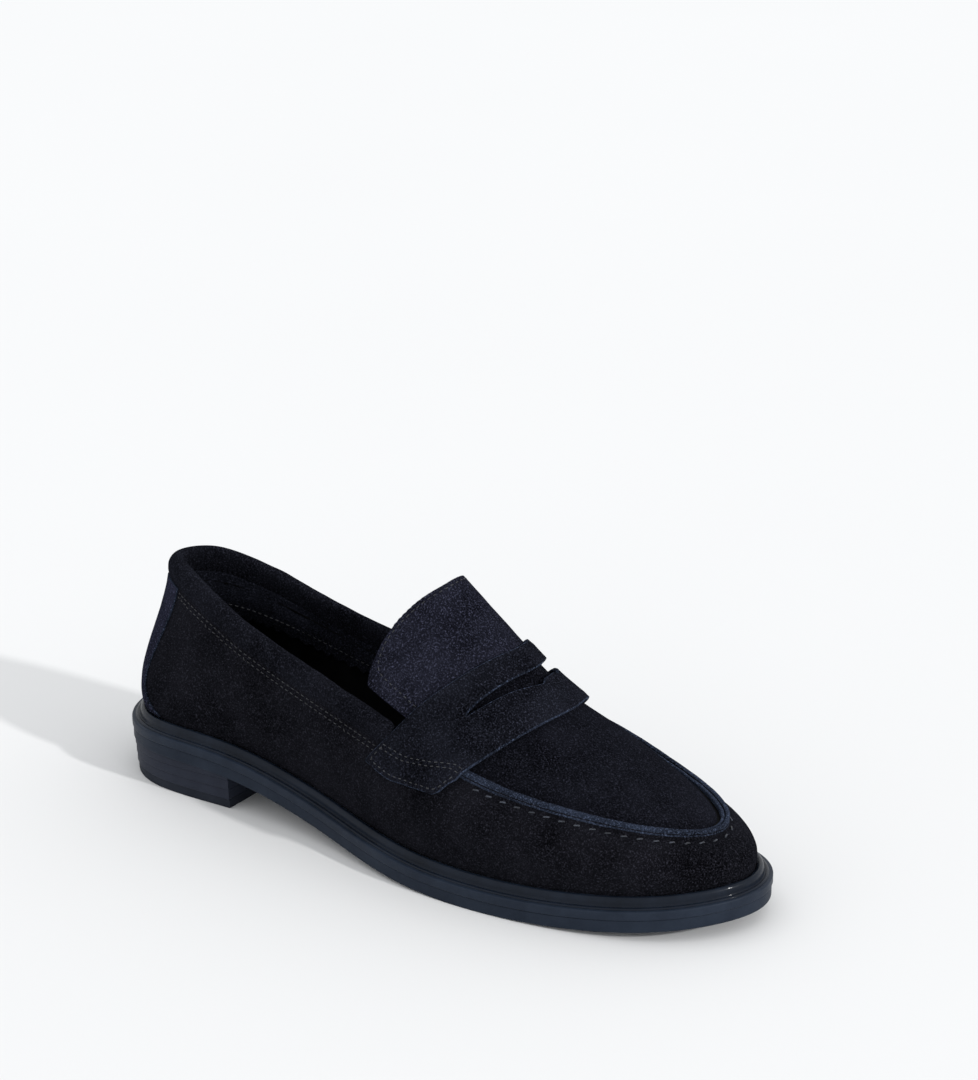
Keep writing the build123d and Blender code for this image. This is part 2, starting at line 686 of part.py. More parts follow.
def on_strap(grid, across, along):
    """Points of a strap grid at shares of its width and length."""
    row = np.asarray(across) * (grid.shape[0] - 1)
    column = np.asarray(along) * (grid.shape[1] - 1)
    i = np.floor(row).astype(int).clip(0, grid.shape[0] - 2)
    j = np.floor(column).astype(int).clip(0, grid.shape[1] - 2)
    s = (row - i)[..., None]
    t = (column - j)[..., None]
    near = grid[i, j] * (1 - t) + grid[i, j + 1] * t
    far = grid[i + 1, j] * (1 - t) + grid[i + 1, j + 1] * t
    return near * (1 - s) + far * s


def slot_cutters():
    """Half-moon slot in three lengths: two lobes, and a short one over the tab."""
    outer = strap_grid(-(STRAP_GAP + STRAP_THICKNESS + CUT_MARGIN))
    inner = strap_grid(-(STRAP_GAP - CUT_MARGIN))
    reach = SLOT_HALF * SLOT_END
    spans = [
        (SLOT_CENTRE - reach, SLOT_CENTRE - TAB_HALF, slot_lower),
        (SLOT_CENTRE + TAB_HALF, SLOT_CENTRE + reach, slot_lower),
        (SLOT_CENTRE - TAB_HALF - TAB_OVERLAP, SLOT_CENTRE + TAB_HALF + TAB_OVERLAP, tab_edge),
    ]
    for start, end, lower in spans:
        along = np.linspace(start, end, 17)[:, None] + np.zeros((1, 4))
        share = np.linspace(0, 1, 4)[None]
        across = slot_upper(along) * (1 - share) + lower(along) * share
        yield sheet(on_strap(outer, across, along), on_strap(inner, across, along))


def make_strap():
    strap = sheet(strap_grid(-(STRAP_GAP + STRAP_THICKNESS)), strap_grid(-STRAP_GAP))
    for cutter in slot_cutters():
        strap = (strap - cutter).solids()[0]
    return strap


# ---------------------------------------------------------------- tongue
TONGUE_TUCK = 0.03           # its front edge, in stations behind the strap's rear
TONGUE_MARGIN = 0.032        # share of the instep's width left free on each side
TONGUE_REACH = (0.06, 0.11)  # its rear edge is behind station 0: at the crest, and more beside it
CORNER_ROWS = 0.25           # share of its length that the rounded rear corners take
CORNER_WIDTH = 0.14
REAR_BOW = 1.6               # power of the curve of its rear edge
TIP_REACH = 0.05             # its rear edge is filled out at the crest
TIP_WIDTH = 0.2
LINING_TRIM = 0.02
TONGUE_LINING_DEPTH = (1.9, 2.9)


def tongue_grid(rows=22, columns=19, trim=0.0):
    """Tongue surface with rounded rear corners, (station, across, xyz)."""
    share = np.linspace(0, 1, rows)[:, None]
    corner = 1 - np.clip(share / CORNER_ROWS, 0, 1)
    side = TONGUE_MARGIN + trim + CORNER_WIDTH * (1 - np.sqrt(1 - corner ** 2 * 0.98))
    w = side + (1 - 2 * side) * np.linspace(0, 1, columns)
    off_crest = np.abs(2 * w - 1)
    rear = trim - TONGUE_REACH[0] - TONGUE_REACH[1] * off_crest ** REAR_BOW
    rear = rear - TIP_REACH * np.exp(-(off_crest / TIP_WIDTH) ** 2)
    front = strap_station(0, w) - TONGUE_TUCK - trim / 2
    return instep(rear + (front - rear) * share, w)


def make_tongue():
    return layer(tongue_grid(), 0, TONGUE_THICKNESS)


def make_tongue_lining():
    return layer(tongue_grid(trim=LINING_TRIM), *TONGUE_LINING_DEPTH)


# ---------------------------------------------------------------- stitching
APRON_STITCH = (5.8, 2.4)    # pitch and length
APRON_STITCH_DROP = 1.3      # below the seam
MACHINE_STITCH = (2.6, 1.2)
COLLAR_ROWS = (1.6, 3.6)     # below the collar's seam
CROSSING_LINES = (-0.5, 1.5)  # above the wall's top edge, on the strap
BACKSTAY_CLEAR = 0.064
STRAP_THREAD_SPAN = (0.07, 0.93)
TONGUE_THREAD_GRID = (120, 101)
TONGUE_THREAD_ROWS = (6, 110)    # of that grid: along the rear edge, and where it ends in front
TONGUE_THREAD_COLUMNS = (4, 96)


def dash_row(grid_line, out, pitch, length):
    """Stitches at an even pitch along a dense line of surface points."""
    at = spaced(grid_line, pitch)
    return stitches(grid_line[at], out[at], length)


def wall_thread(start, end, below, pitch, length):
    """Stitches on the side wall at a distance under its seam line."""
    u = np.linspace(start, end, 900)
    profile = wall_grid(u, 160, lip=False)
    out = normals(profile)
    steps = np.linalg.norm(np.diff(profile, axis=1), axis=-1).cumsum(axis=1)
    row = np.array([np.searchsorted(line, line[-1] - below) for line in steps])
    at = np.arange(len(u))
    return dash_row(profile[at, row], out[at, row], pitch, length)


def make_apron_thread():
    """Hand-sewn stitches just under the raised seam of the apron."""
    start = STRAP_FRONT_LATERAL + 0.010
    end = STRAP_FRONT_MEDIAL - 0.010
    return Compound(wall_thread(start, end, APRON_STITCH_DROP, *APRON_STITCH))


def make_collar_thread():
    """Two rows of machine stitches just under the collar, on each side of the backstay."""
    medial = (COLLAR_START + 0.004, 1 - BACKSTAY_CLEAR)
    lateral = (BACKSTAY_CLEAR, COLLAR_END - 0.004)
    rows = []
    for start, end in (medial, lateral):
        for below in COLLAR_ROWS:
            rows += wall_thread(start, end, below, *MACHINE_STITCH)
    return Compound(rows)


def make_strap_thread():
    """Double line across each end of the strap, along the top of the wall under it."""
    outer = strap_grid(-(STRAP_GAP + STRAP_THICKNESS))
    out = normals(outer)
    share = np.linspace(*STRAP_THREAD_SPAN, 300)
    long = np.linalg.norm(np.diff(outer, axis=1), axis=-1).sum(axis=1)
    length = np.interp(share, np.linspace(0, 1, len(long)), long)
    dashes = []
    for above in CROSSING_LINES:
        along = (flap_reach(share) + above) / length
        for way in (along, 1 - along):
            line = on_strap(outer, share, way)
            dashes += dash_row(line, on_strap(out, share, way), *MACHINE_STITCH)
    return Compound(dashes)


def make_tongue_thread():
    """Line of stitches along the tongue's free edge."""
    grid = tongue_grid(*TONGUE_THREAD_GRID)
    out = normals(grid)
    rear, front = TONGUE_THREAD_ROWS
    lateral, medial = TONGUE_THREAD_COLUMNS
    side = np.arange(front, rear, -1)
    across = np.arange(lateral, medial + 1)
    row = np.concatenate([side, rear + 0 * across, side[::-1]])
    column = np.concatenate([lateral + 0 * side, across, medial + 0 * side])
    return Compound(dash_row(grid[row, column], out[row, column], *MACHINE_STITCH))


# ---------------------------------------------------------------- assembly
def build_parts():
    parts = {
        "outsole": make_outsole(),
        "welt_layer": make_welt_layer(),
        "storm_welt": make_storm_welt(),
        "upper_wall": make_side_wall(),
        "wall_lining": make_side_lining(),
        "heel_counter": make_heel_counter(),
        "toe_puff": make_toe_puff(),
        "inner_facing": make_inner_facing(),
        "backstay": make_backstay(),
        "collar": make_collar(),
        "collar_foam": make_collar_foam(),
        "apron": make_apron(),
        "apron_lining": make_apron_lining(),
        "saddle_strap": make_strap(),
        "tongue": make_tongue(),
        "tongue_lining": make_tongue_lining(),
        "apron_thread": make_apron_thread(),
        "collar_thread": make_collar_thread(),
        "strap_thread": make_strap_thread(),
        "tongue_thread": make_tongue_thread(),
    }
    parts.update(make_heel())
    parts.update(make_footbed())
    return parts


def main():
    os.makedirs("parts", exist_ok=True)
    parts = build_parts()
    boxes = [part.bounding_box() for part in parts.values()]
    low = Vector(*(min(getattr(box.min, axis) for box in boxes) for axis in "XYZ"))
    high = Vector(*(max(getattr(box.max, axis) for box in boxes) for axis in "XYZ"))
    middle = (low + high) / 2
    home = Location((-middle.X, -middle.Y, -low.Z))
    for name, part in parts.items():
        part = home * part
        part.label = name
        export_step(part, f"parts/{name}.step")
    hinge = instep(strap_station(0, 0.5) - TONGUE_TUCK, 0.5)
    print("origin", middle.X, middle.Y, low.Z, "span", tuple(high - low))
    print("tongue hinge", hinge - [middle.X, middle.Y, low.Z])


main()
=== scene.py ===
import math

import bmesh
import bpy
import numpy as np
from mathutils import Matrix, Vector


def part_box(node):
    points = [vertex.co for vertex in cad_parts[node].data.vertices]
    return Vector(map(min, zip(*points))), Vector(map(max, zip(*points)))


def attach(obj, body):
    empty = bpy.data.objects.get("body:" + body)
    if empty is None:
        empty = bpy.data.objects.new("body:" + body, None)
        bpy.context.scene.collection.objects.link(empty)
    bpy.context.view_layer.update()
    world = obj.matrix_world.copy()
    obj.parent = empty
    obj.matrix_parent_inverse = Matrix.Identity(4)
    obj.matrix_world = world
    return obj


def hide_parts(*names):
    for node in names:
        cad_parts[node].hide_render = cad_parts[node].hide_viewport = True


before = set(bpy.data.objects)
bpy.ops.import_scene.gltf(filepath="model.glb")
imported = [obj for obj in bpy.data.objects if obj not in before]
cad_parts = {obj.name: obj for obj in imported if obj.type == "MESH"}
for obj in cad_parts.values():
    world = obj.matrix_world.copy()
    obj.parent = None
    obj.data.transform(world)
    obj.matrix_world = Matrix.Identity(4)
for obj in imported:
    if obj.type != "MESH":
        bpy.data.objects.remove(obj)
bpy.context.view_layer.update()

# The looks of a right-foot penny loafer. Shapes are worked out in millimetres in the
# drawing frame of the shoe (x from the back of the heel, +y medial, z = 0 the ground)
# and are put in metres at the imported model's place by place().

# -------- sizes of the shoe
SOLE_LENGTH = 290.0
OUTSOLE_THICKNESS = 5.0
WELT_LAYER_THICKNESS = 3.8
WELT_TOP = OUTSOLE_THICKNESS + WELT_LAYER_THICKNESS
OUTSOLE_INSET = 0.45
LAYER_LINE = 0.05
WELT_JOINT = 0.1
BEAD_HEIGHT = 4.2
FEATHER_INSET = 6.6
HEEL_BREAST_X = 66.0
HEEL_INSET = 1.6
HEEL_STEPS = (0.5, 0.0, -0.3, -0.6)  # from the top piece up to the wedge
TOP_PIECE_THICKNESS = 3.9
LIFT_THICKNESS = 3.75
WEDGE_BREAST = 1.2
UPPER_THICKNESS = 1.7
RIDGE_HALF_WIDTH = 1.85
RIDGE_HEIGHT = 3.5
COLLAR_HEIGHT = 9.5
COLLAR_FLARE = 0.6
STRAP_GAP = 0.5
STRAP_THICKNESS = 1.8
MM = 0.001

OUTLINE = [
    (0, 0), (6.5, -20.5), (25, -33.5), (65, -34), (112, -36.5), (155, -46),
    (199, -47), (241, -39.5), (273, -24), (SOLE_LENGTH + 1, 5), (279, 29), (250, 41.5),
    (212, 48), (165, 43), (118, 34), (64, 32.5), (25, 32.5), (6.5, 20),
]
RIM = [
    (17, 0, 90), (24.5, -9, 90.5), (39, -16, 88), (67, -22.5, 79), (107, -26.5, 67.8),
    (149, -32, 58.5), (191, -34.5, 49), (230, -28, 43.5), (257, -15.5, 39.5),
    (271, 5, 36), (262, 20, 38.5), (234, 30, 43), (202, 34.5, 49.5), (151, 32.5, 59),
    (107, 26, 67), (67, 22, 78), (39, 16, 87.5), (24.5, 9, 90.5),
]
SOLE_LINE = [(0, 14), (66, 14), (103, 8), (142, 2.6), (172, 0.4), (196, 0.03), (222, 0.8),
             (257, 3.6), (291, 7.2)]
WALL_STATIONS = [0, 66, 150, 200, 250, 292]
LOW_BULGE = [6, 4, 4, 4, 3.5, 1.5]
LOW_RISE = [0.30, 0.35, 0.40, 0.45, 0.50, 0.50]
HIGH_BULGE = [3, 3.5, 6, 9, 8, 6]
HIGH_DROP = [0.35, 0.35, 0.30, 0.22, 0.18, 0.12]
INSTEP_STATIONS = [
    (128, 129, (153, 8, 104)), (149, 151, (180, 9, 81.5)), (183, 188, (204, 8, 63)),
    (215, 217, (229, 8, 52.5)), (243, 245, (251, 8, 45)), (261, 262, (265, 7, 40)),
]
CROWN_POWER = np.array([1.6, 2.0, 2.7])
UP = np.array([0.0, 0.0, 1.0])
RING_STEP = 1e-4
EDGE_TUCK = 0.05
REAR_STEP = 0.02
STRAP_REAR_STATION = 1.03
STRAP_FRONT_STATION = 2.05
STRAP_ARCH = 0.10


# -------- curves of the shoe
class Curve:
    """Smooth cubic curve through points at the given knots, open or closed."""

    def __init__(self, knots, points, closed=False):
        self.t = np.array(knots, float)
        self.p = np.array(points, float)
        self.closed = closed
        count = len(self.p)
        h = np.diff(self.t)
        ring = np.concatenate([self.p, self.p[:1]]) if closed else self.p
        slope = (np.diff(ring, axis=0).T / h).T
        system = np.zeros((count, count))
        right = np.zeros_like(self.p)
        for i in range(count):
            if closed or 0 < i < count - 1:
                before, after = h[i - 1], h[i % len(h)]
                system[i, i - 1] += 1 / before
                system[i, i] += 2 / before + 2 / after
                system[i, (i + 1) % count] += 1 / after
                right[i] = 3 * (slope[i - 1] / before + slope[i % len(h)] / after)
            else:
                system[i, i] = 2
                system[i, 1 if i == 0 else count - 2] = 1
                right[i] = 3 * slope[min(i, count - 2)]
        self.m = np.linalg.solve(system, right.reshape(count, -1)).reshape(self.p.shape)

    def __call__(self, t):
        t = np.asarray(t, float)
        first, last = self.t[0], self.t[-1]
        t = first + np.mod(t - first, last - first) if self.closed else np.clip(t, first, last)
        i = np.clip(np.searchsorted(self.t, t, side="right") - 1, 0, len(self.t) - 2)
        j = (i + 1) % len(self.p)
        wide = np.shape(t) + (1,) * (self.p.ndim - 1)
        h = np.reshape(self.t[i + 1] - self.t[i], wide)
        s = np.reshape(t - self.t[i], wide) / h
        a = self.p[i] * (1 + 2 * s) * (1 - s) ** 2 + self.m[i] * h * s * (1 - s) ** 2
        b = self.p[j] * (3 - 2 * s) * s ** 2 - self.m[j] * h * s ** 2 * (1 - s)
        return a + b


_corners = np.array(OUTLINE + OUTLINE[:1], float)
_spans = np.sqrt(np.linalg.norm(np.diff(_corners, axis=0), axis=1))
RING_KNOTS = np.concatenate([[0], np.cumsum(_spans)]) / _spans.sum()
outline = Curve(RING_KNOTS, OUTLINE, closed=True)
rim = Curve(RING_KNOTS, RIM, closed=True)
sole_line = Curve([x for x, _ in SOLE_LINE], [z for _, z in SOLE_LINE])
low_bulge, low_rise, high_bulge, high_drop = (
    Curve(WALL_STATIONS, values) for values in (LOW_BULGE, LOW_RISE, HIGH_BULGE, HIGH_DROP)
)


def outward(u):
    """Horizontal unit vectors that point out of the shoe at ring positions u."""
    ahead = outline(u + RING_STEP) - outline(u - RING_STEP)
    normal = np.stack([ahead[..., 1], -ahead[..., 0], 0 * ahead[..., 0]], -1)
    return normal / np.linalg.norm(normal, axis=-1, keepdims=True)


def ramp(value, low, high):
    """Smooth step from 0 at low to 1 at high."""
    s = np.clip((value - low) / (high - low), 0, 1)
    return s * s * (3 - 2 * s)


def edge_point(u, inset, height):
    """Points on the sole, inside its edge by inset and above its underside by height."""
    plan = outline(u)
    flat = np.stack([plan[..., 0], plan[..., 1], 0 * plan[..., 0]], -1)
    point = flat - outward(u) * np.asarray(inset)[..., None]
    point[..., 2] = sole_line(point[..., 0]) + height
    return point


def ring_at(x, side):
    """Ring position of the rim at a given x, on side -1 (lateral) or +1 (medial)."""
    grid = np.linspace(0.02, 0.98, 1500)
    points = rim(grid)
    tip = grid[points[:, 0].argmax()]
    mask = grid < tip if side < 0 else grid > tip
    order = points[mask, 0].argsort()
    return np.interp(x, points[mask, 0][order], grid[mask][order])


STRAP_REAR = (ring_at(149, -1), ring_at(151, +1))
STRAP_FRONT = (ring_at(183, -1), ring_at(188, +1))


def collar_share(u):
    """1 along the collar, falling to 0 under the strap."""
    u = np.mod(u, 1)
    lateral = 1 - ramp(u, STRAP_REAR[0], STRAP_FRONT[0])
    medial = ramp(u, STRAP_FRONT[1], STRAP_REAR[1])
    return np.where(u < 0.5, lateral, medial)


def seam(u):
    """Line under the collar band or under the raised apron seam."""
    share = collar_share(u)
    drop = RIDGE_HEIGHT + (COLLAR_HEIGHT - RIDGE_HEIGHT) * share
    out = RIDGE_HALF_WIDTH + COLLAR_FLARE * share
    return rim(u) + outward(u) * out[..., None] - UP * drop[..., None]


def wall_profiles(u, lip=True):
    """Dense profiles of the side wall's outer surface, from the welt to its top edge."""
    foot = edge_point(u, FEATHER_INSET, WELT_TOP + WELT_JOINT)
    join = foot + UP * BEAD_HEIGHT
    top = seam(u)
    n = outward(u)
    x = foot[:, 0]
    height = (top - join)[:, 2]
    first = join + n * low_bulge(x)[:, None] + UP * (low_rise(x) * height)[:, None]
    last = top + n * high_bulge(x)[:, None] - UP * (high_drop(x) * height)[:, None]
    s = np.linspace(0, 1, 80)[None, :, None]
    dome = (join[:, None] * (1 - s) ** 3 + 3 * first[:, None] * s * (1 - s) ** 2
            + 3 * last[:, None] * s ** 2 * (1 - s) + top[:, None] * s ** 3)
    parts = [foot[:, None], dome]
    if lip:
        edge = UP * (RIDGE_HEIGHT * (1 - collar_share(u)))[:, None]
        parts.append(top[:, None] + edge[:, None] * np.linspace(0.1, 1, 10)[None, :, None])
    return np.concatenate(parts, axis=1)


def distance_along(lines):
    """Distance along each line of points, from its first point."""
    steps = np.linalg.norm(np.diff(lines, axis=-2), axis=-1)
    return np.concatenate([np.zeros_like(steps[..., :1]), steps.cumsum(axis=-1)], axis=-1)


def even_rows(profiles, rows, low=0.0, high=1.0):
    """Each profile resampled to evenly spaced rows between two shares of its length."""
    length = distance_along(profiles)
    low = np.broadcast_to(low, len(profiles))
    result = np.empty((len(profiles), rows, 3))
    for i, profile in enumerate(profiles):
        want = np.linspace(low[i], high, rows) * length[i, -1]
        for axis in range(3):
            result[i, :, axis] = np.interp(want, length[i], profile[:, axis])
    return result


def normals(grid):
    """Unit normals of a point grid, first direction crossed with second."""
    cross = np.cross(np.gradient(grid, axis=0), np.gradient(grid, axis=1))
    return cross / np.maximum(np.linalg.norm(cross, axis=-1, keepdims=True), 1e-9)


_number = np.arange(len(INSTEP_STATIONS))
station_lateral = Curve(_number, [ring_at(row[0], -1) for row in INSTEP_STATIONS])
station_medial = Curve(_number, [ring_at(row[1], +1) for row in INSTEP_STATIONS])
station_crest = Curve(_number, [row[2] for row in INSTEP_STATIONS])


def instep(k, w):
    """Crowned top surface at stations k and shares w, lateral to medial.

    Before station 0 the surface runs on straight.
    """
    k, w = np.broadcast_arrays(np.asarray(k, float), np.asarray(w, float))
    start = np.maximum(k, 0)
    a = station_lateral(start)
    b = station_medial(start)
    left = rim(a) - outward(a) * EDGE_TUCK
    right = rim(b) - outward(b) * EDGE_TUCK
    crown = 1 - np.abs(2 * w - 1)[..., None] ** CROWN_POWER
    share = w[..., None]
    point = left * (1 - share) + right * share
    point = point + crown * (station_crest(start) - (left + right) / 2)
    if (k < 0).any():
        ahead = instep(np.maximum(k, 0) + REAR_STEP, w)
        point = point + (ahead - point) * (np.minimum(k, 0) / REAR_STEP)[..., None]
    return point


def strap_station(share, w):
    """Station of the strap at shares of its own width and of the instep's."""
    arch = STRAP_ARCH * (4 * w * (1 - w)) ** 3
    return STRAP_REAR_STATION + (STRAP_FRONT_STATION - STRAP_REAR_STATION) * share - arch


# -------- from shapes to meshes
_ring = outline(np.linspace(0, 1, 4001))
_low, _high = (np.array(corner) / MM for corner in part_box("welt_layer"))
_sole = sole_line(np.linspace(0, SOLE_LENGTH + 1, 2001))
HOME = np.array([
    (_ring[:, 0].min() + _ring[:, 0].max() - _low[0] - _high[0]) / 2,
    (_ring[:, 1].min() + _ring[:, 1].max() - _low[1] - _high[1]) / 2,
    _sole.min() + OUTSOLE_THICKNESS - _low[2],
])


def place(points):
    """Millimetres in the drawing frame to metres in the row frame."""
    return (np.asarray(points, float) - HOME) * MM


def add_object(name, data):
    piece = bpy.data.objects.new(name, data)
    bpy.context.scene.collection.objects.link(piece)
    return piece


def make_object(name, points, faces, materials, slots=None, body="shoe"):
    """Smooth mesh object from points in the drawing frame, riding on a body."""
    mesh = bpy.data.meshes.new(name)
    mesh.from_pydata([tuple(p) for p in place(points)], [], [tuple(f) for f in faces])
    for material in materials:
        mesh.materials.append(material)
    if slots is not None:
        mesh.polygons.foreach_set("material_index", np.asarray(slots, np.int32))
    mesh.polygons.foreach_set("use_smooth", np.ones(len(mesh.polygons), bool))
    mesh.update()
    piece = add_object(name, mesh)
    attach(piece, body)
    return piece


def grid_faces(rows, columns, closed=False, tube=False):
    """Quads of a grid of points numbered row by row.

    closed joins the last row to the first, and tube the last column to the first.
    """
    i, j = np.meshgrid(np.arange(rows if closed else rows - 1),
                       np.arange(columns if tube else columns - 1), indexing="ij")
    after = (i + 1) % rows
    beside = (j + 1) % columns
    quads = [i * columns + j, after * columns + j, after * columns + beside, i * columns + beside]
    return np.stack(quads, -1).reshape(-1, 4)


def vertex_normals(points, faces):
    """Average normal at each point of a quad mesh."""
    a, b, c, d = (points[faces[:, i]] for i in range(4))
    face_normal = np.cross(c - a, d - b)
    total = np.zeros_like(points)
    for i in range(4):
        np.add.at(total, faces[:, i], face_normal)
    return total / np.maximum(np.linalg.norm(total, axis=1, keepdims=True), 1e-9)


EDGE_STEPS = 5
EDGE_BULGE = 0.55  # roundness of a suede edge; 1 is a half circle


def thicken(points, faces, inner, bulge):
    """Closed sheet from one surface: its inner side and a rounded edge all round.

    inner is the thickness or the points of the inner side. Returns the points, the quads
    and which quads are on the cut edge.
    """
    normal = vertex_normals(points, faces)
    inner = points - normal * inner if np.isscalar(inner) else inner.reshape(-1, 3)
    count = len(points)
    edges = np.concatenate([faces[:, [i, (i + 1) % 4]] for i in range(4)])
    keys = edges[:, 0] * count + edges[:, 1]
    back = edges[:, 1] * count + edges[:, 0]
    free = edges[~np.isin(keys, back) & (edges[:, 0] != edges[:, 1])]
    along = points[free[:, 1]] - points[free[:, 0]]
    out = np.zeros_like(points)
    for side in (0, 1):
        np.add.at(out, free[:, side], np.cross(along, normal[free[:, side]]))
    border = np.unique(free)
    middle = (points[border] + inner[border]) / 2
    toward = (points[border] - inner[border]) / 2
    half = np.linalg.norm(toward, axis=1, keepdims=True)
    out = out[border] / np.maximum(np.linalg.norm(out[border], axis=1, keepdims=True), 1e-9)
    rings = [middle + toward * math.cos(angle) + out * half * bulge * math.sin(angle)
             for angle in np.linspace(0, math.pi, EDGE_STEPS + 1)[1:-1]]
    steps = np.arange(len(border)) + 2 * count
    chain = [border] + [steps + i * len(border) for i in range(len(rings))] + [border + count]
    number = np.full(count, -1)
    number[border] = np.arange(len(border))
    a, b = number[free[:, 0]], number[free[:, 1]]
    quads = [faces, faces[:, ::-1] + count]
    for near, far in zip(chain[:-1], chain[1:]):
        quads.append(np.stack([near[b], near[a], far[a], far[b]], -1))
    quads = np.concatenate(quads)
    return np.concatenate([points, inner] + rings), quads, np.arange(len(quads)) >= 2 * len(faces)


def make_sheet(name, surface, inner, bulge, materials, faces=None, raised=None, body="shoe"):
    """Object from thicken(); its cut edge and its raised quads take the second material."""
    if faces is None:
        faces = grid_faces(*surface.shape[:2])
    points, quads, edge = thicken(surface.reshape(-1, 3), faces, inner, bulge)
    if raised is not None:
        edge[:len(faces)] = raised
    return make_object(name, points, quads, materials, edge if len(materials) > 1 else None, body)


rng = np.random.default_rng(7)
_waves = [(rng.normal(size=3), rng.uniform(0, 2 * math.pi), scale)
          for scale in (9.0, 6.0, 4.0, 2.6) for _ in range(6)]


def unevenness(points):
    """Smooth random height, about -1 to 1, that varies over a few millimetres."""
    total = np.zeros(points.shape[:-1])
    for direction, phase, scale in _waves:
        way = direction / np.linalg.norm(direction) * math.pi / scale
        total += np.sin(points @ way + phase) * scale
    return total / 40


def dimples(points, centres, depth, radius):
    """Depth of the hollows that stitches pull into a surface."""
    flat = points.reshape(-1, 3)
    total = np.zeros(len(flat))
    for centre in centres:
        near = np.abs(flat - centre).max(axis=1) < 3 * radius
        gap = ((flat[near] - centre) ** 2).sum(axis=1)
        total[near] += depth * np.exp(-gap / radius ** 2)
    return total.reshape(points.shape[:-1])


def spaced(line, pitch):
    """Indices that step along a dense line of points by about one pitch."""
    length = distance_along(line)
    count = max(int(length[-1] / pitch), 3)
    return np.searchsorted(length, np.linspace(0, length[-1], count)).clip(1, len(line) - 2)


STITCH_RADIUS = 0.17
THREAD_SIDES = 8
THREAD_RINGS = 11
THREAD_TWIST = 2.2


def stitch_mesh(line, out, pitch, length, slant=0.0, shift=0.0):
    """Points and faces of a row of twisted thread stitches that dip in at both ends.

    shift moves each stitch across its row.
    """
    at = spaced(line, pitch)
    along = line[at + 1] - line[at - 1]
    along /= np.linalg.norm(along, axis=1, keepdims=True)
    along = along * math.cos(slant) + np.cross(out[at], along) * math.sin(slant)
    side = np.cross(out[at], along)
    middle, up, along, side = (part[:, None, None] for part in (line[at], out[at], along, side))
    t = np.linspace(-1, 1, THREAD_RINGS)[:, None, None]
    angle = 2 * math.pi * np.arange(THREAD_SIDES)[:, None] / THREAD_SIDES
    rise = STITCH_RADIUS * (1.15 * np.sqrt(1 - t ** 4) - 0.25)
    thick = STITCH_RADIUS * (0.55 + 0.45 * np.sqrt(1 - t ** 6))
    ply = 1 + 0.16 * np.cos(2 * (angle - t * THREAD_TWIST * math.pi))
    centre = middle + along * t * length / 2 + up * rise + side * shift
    points = centre + thick * ply * (side * np.cos(angle) + up * np.sin(angle))
    number = np.arange(points[..., 0].size).reshape(points.shape[:3])
    beside = np.roll(number, -1, axis=2)
    quads = np.stack([number[:, :-1], beside[:, :-1], beside[:, 1:], number[:, 1:]], -1)
    faces = quads.reshape(-1, 4).tolist() + number[:, 0, ::-1].tolist() + number[:, -1].tolist()
    return points.reshape(-1, 3), faces


def stitch_object(name, rows, material, body="shoe"):
    """One object from several rows of stitches."""
    faces = []
    count = 0
    for row_points, row_faces in rows:
        faces += [[corner + count for corner in face] for face in row_faces]
        count += len(row_points)
    return make_object(name, np.concatenate([row[0] for row in rows]), faces, [material], body=body)


# -------- materials
SUEDE_DARK = 0.10  # share of a suede's tone in its hollows
SUEDE_LIGHT = 3.6  # and on its flecks
NAP_DEPTH = 0.00045


def shader_input(material, socket):
    return material.node_tree.nodes["Principled BSDF"].inputs[socket]


def new_material(name, colour, roughness, specular, **sockets):
    """Principled material with constant sockets."""
    material = bpy.data.materials.new(name)
    material.use_nodes = True
    sockets.update(Base_Color=(*colour, 1), Roughness=roughness, Specular_IOR_Level=specular)
    for socket, value in sockets.items():
        shader_input(material, socket.replace("_", " ")).default_value = value
    return material


def add_node(material, kind, **values):
    """New node; each value goes to the socket of that name, or else to the node itself."""
    node = material.node_tree.nodes.new(kind)
    for key, value in values.items():
        socket = key.replace("_", " ")
        if socket in node.inputs:
            node.inputs[socket].default_value = value
        else:
            setattr(node, key, value)
    return node


def link(material, output, socket):
    material.node_tree.links.new(output, socket)


def noise(material, scale, detail, rough, stretch=(1, 1, 1)):
    """Noise in the row frame; scale is in features per metre."""
    place_at = add_node(material, "ShaderNodeTexCoord")
    mapping = add_node(material, "ShaderNodeMapping", Scale=stretch)
    texture = add_node(material, "ShaderNodeTexNoise", Scale=scale, Detail=detail, Roughness=rough)
    link(material, place_at.outputs["Object"], mapping.inputs["Vector"])
    link(material, mapping.outputs["Vector"], texture.inputs["Vector"])
    return texture.outputs["Fac"]


def map_range(material, value, **ends):
    node = add_node(material, "ShaderNodeMapRange", **ends)
    link(material, value, node.inputs["Value"])
    return node.outputs["Result"]


def grain(material, low, high, *noise_values):
    """Noise whose values between low and high are stretched to 0 to 1."""
    return map_range(material, noise(material, *noise_values), From_Min=low, From_Max=high)


def math_node(material, operation, a, b):
    node = add_node(material, "ShaderNodeMath", operation=operation)
    for socket, value in zip(node.inputs, (a, b)):
        if isinstance(value, (int, float)):
            socket.default_value = value
        else:
            link(material, value, socket)
    return node.outputs["Value"]


def weighted(material, *terms):
    """Sum of values, each times its weight."""
    parts = [math_node(material, "MULTIPLY", value, weight) for value, weight in terms]
    total = parts[0]
    for part in parts[1:]:
        total = math_node(material, "ADD", total, part)
    return total


def blend_colour(material, factor, low, high):
    """Base colour that runs from low to high with a factor."""
    node = add_node(material, "ShaderNodeValToRGB")
    for element, colour in zip(node.color_ramp.elements, (low, high)):
        element.color = (*colour, 1)
    link(material, factor, node.inputs["Fac"])
    link(material, node.outputs["Color"], shader_input(material, "Base Color"))


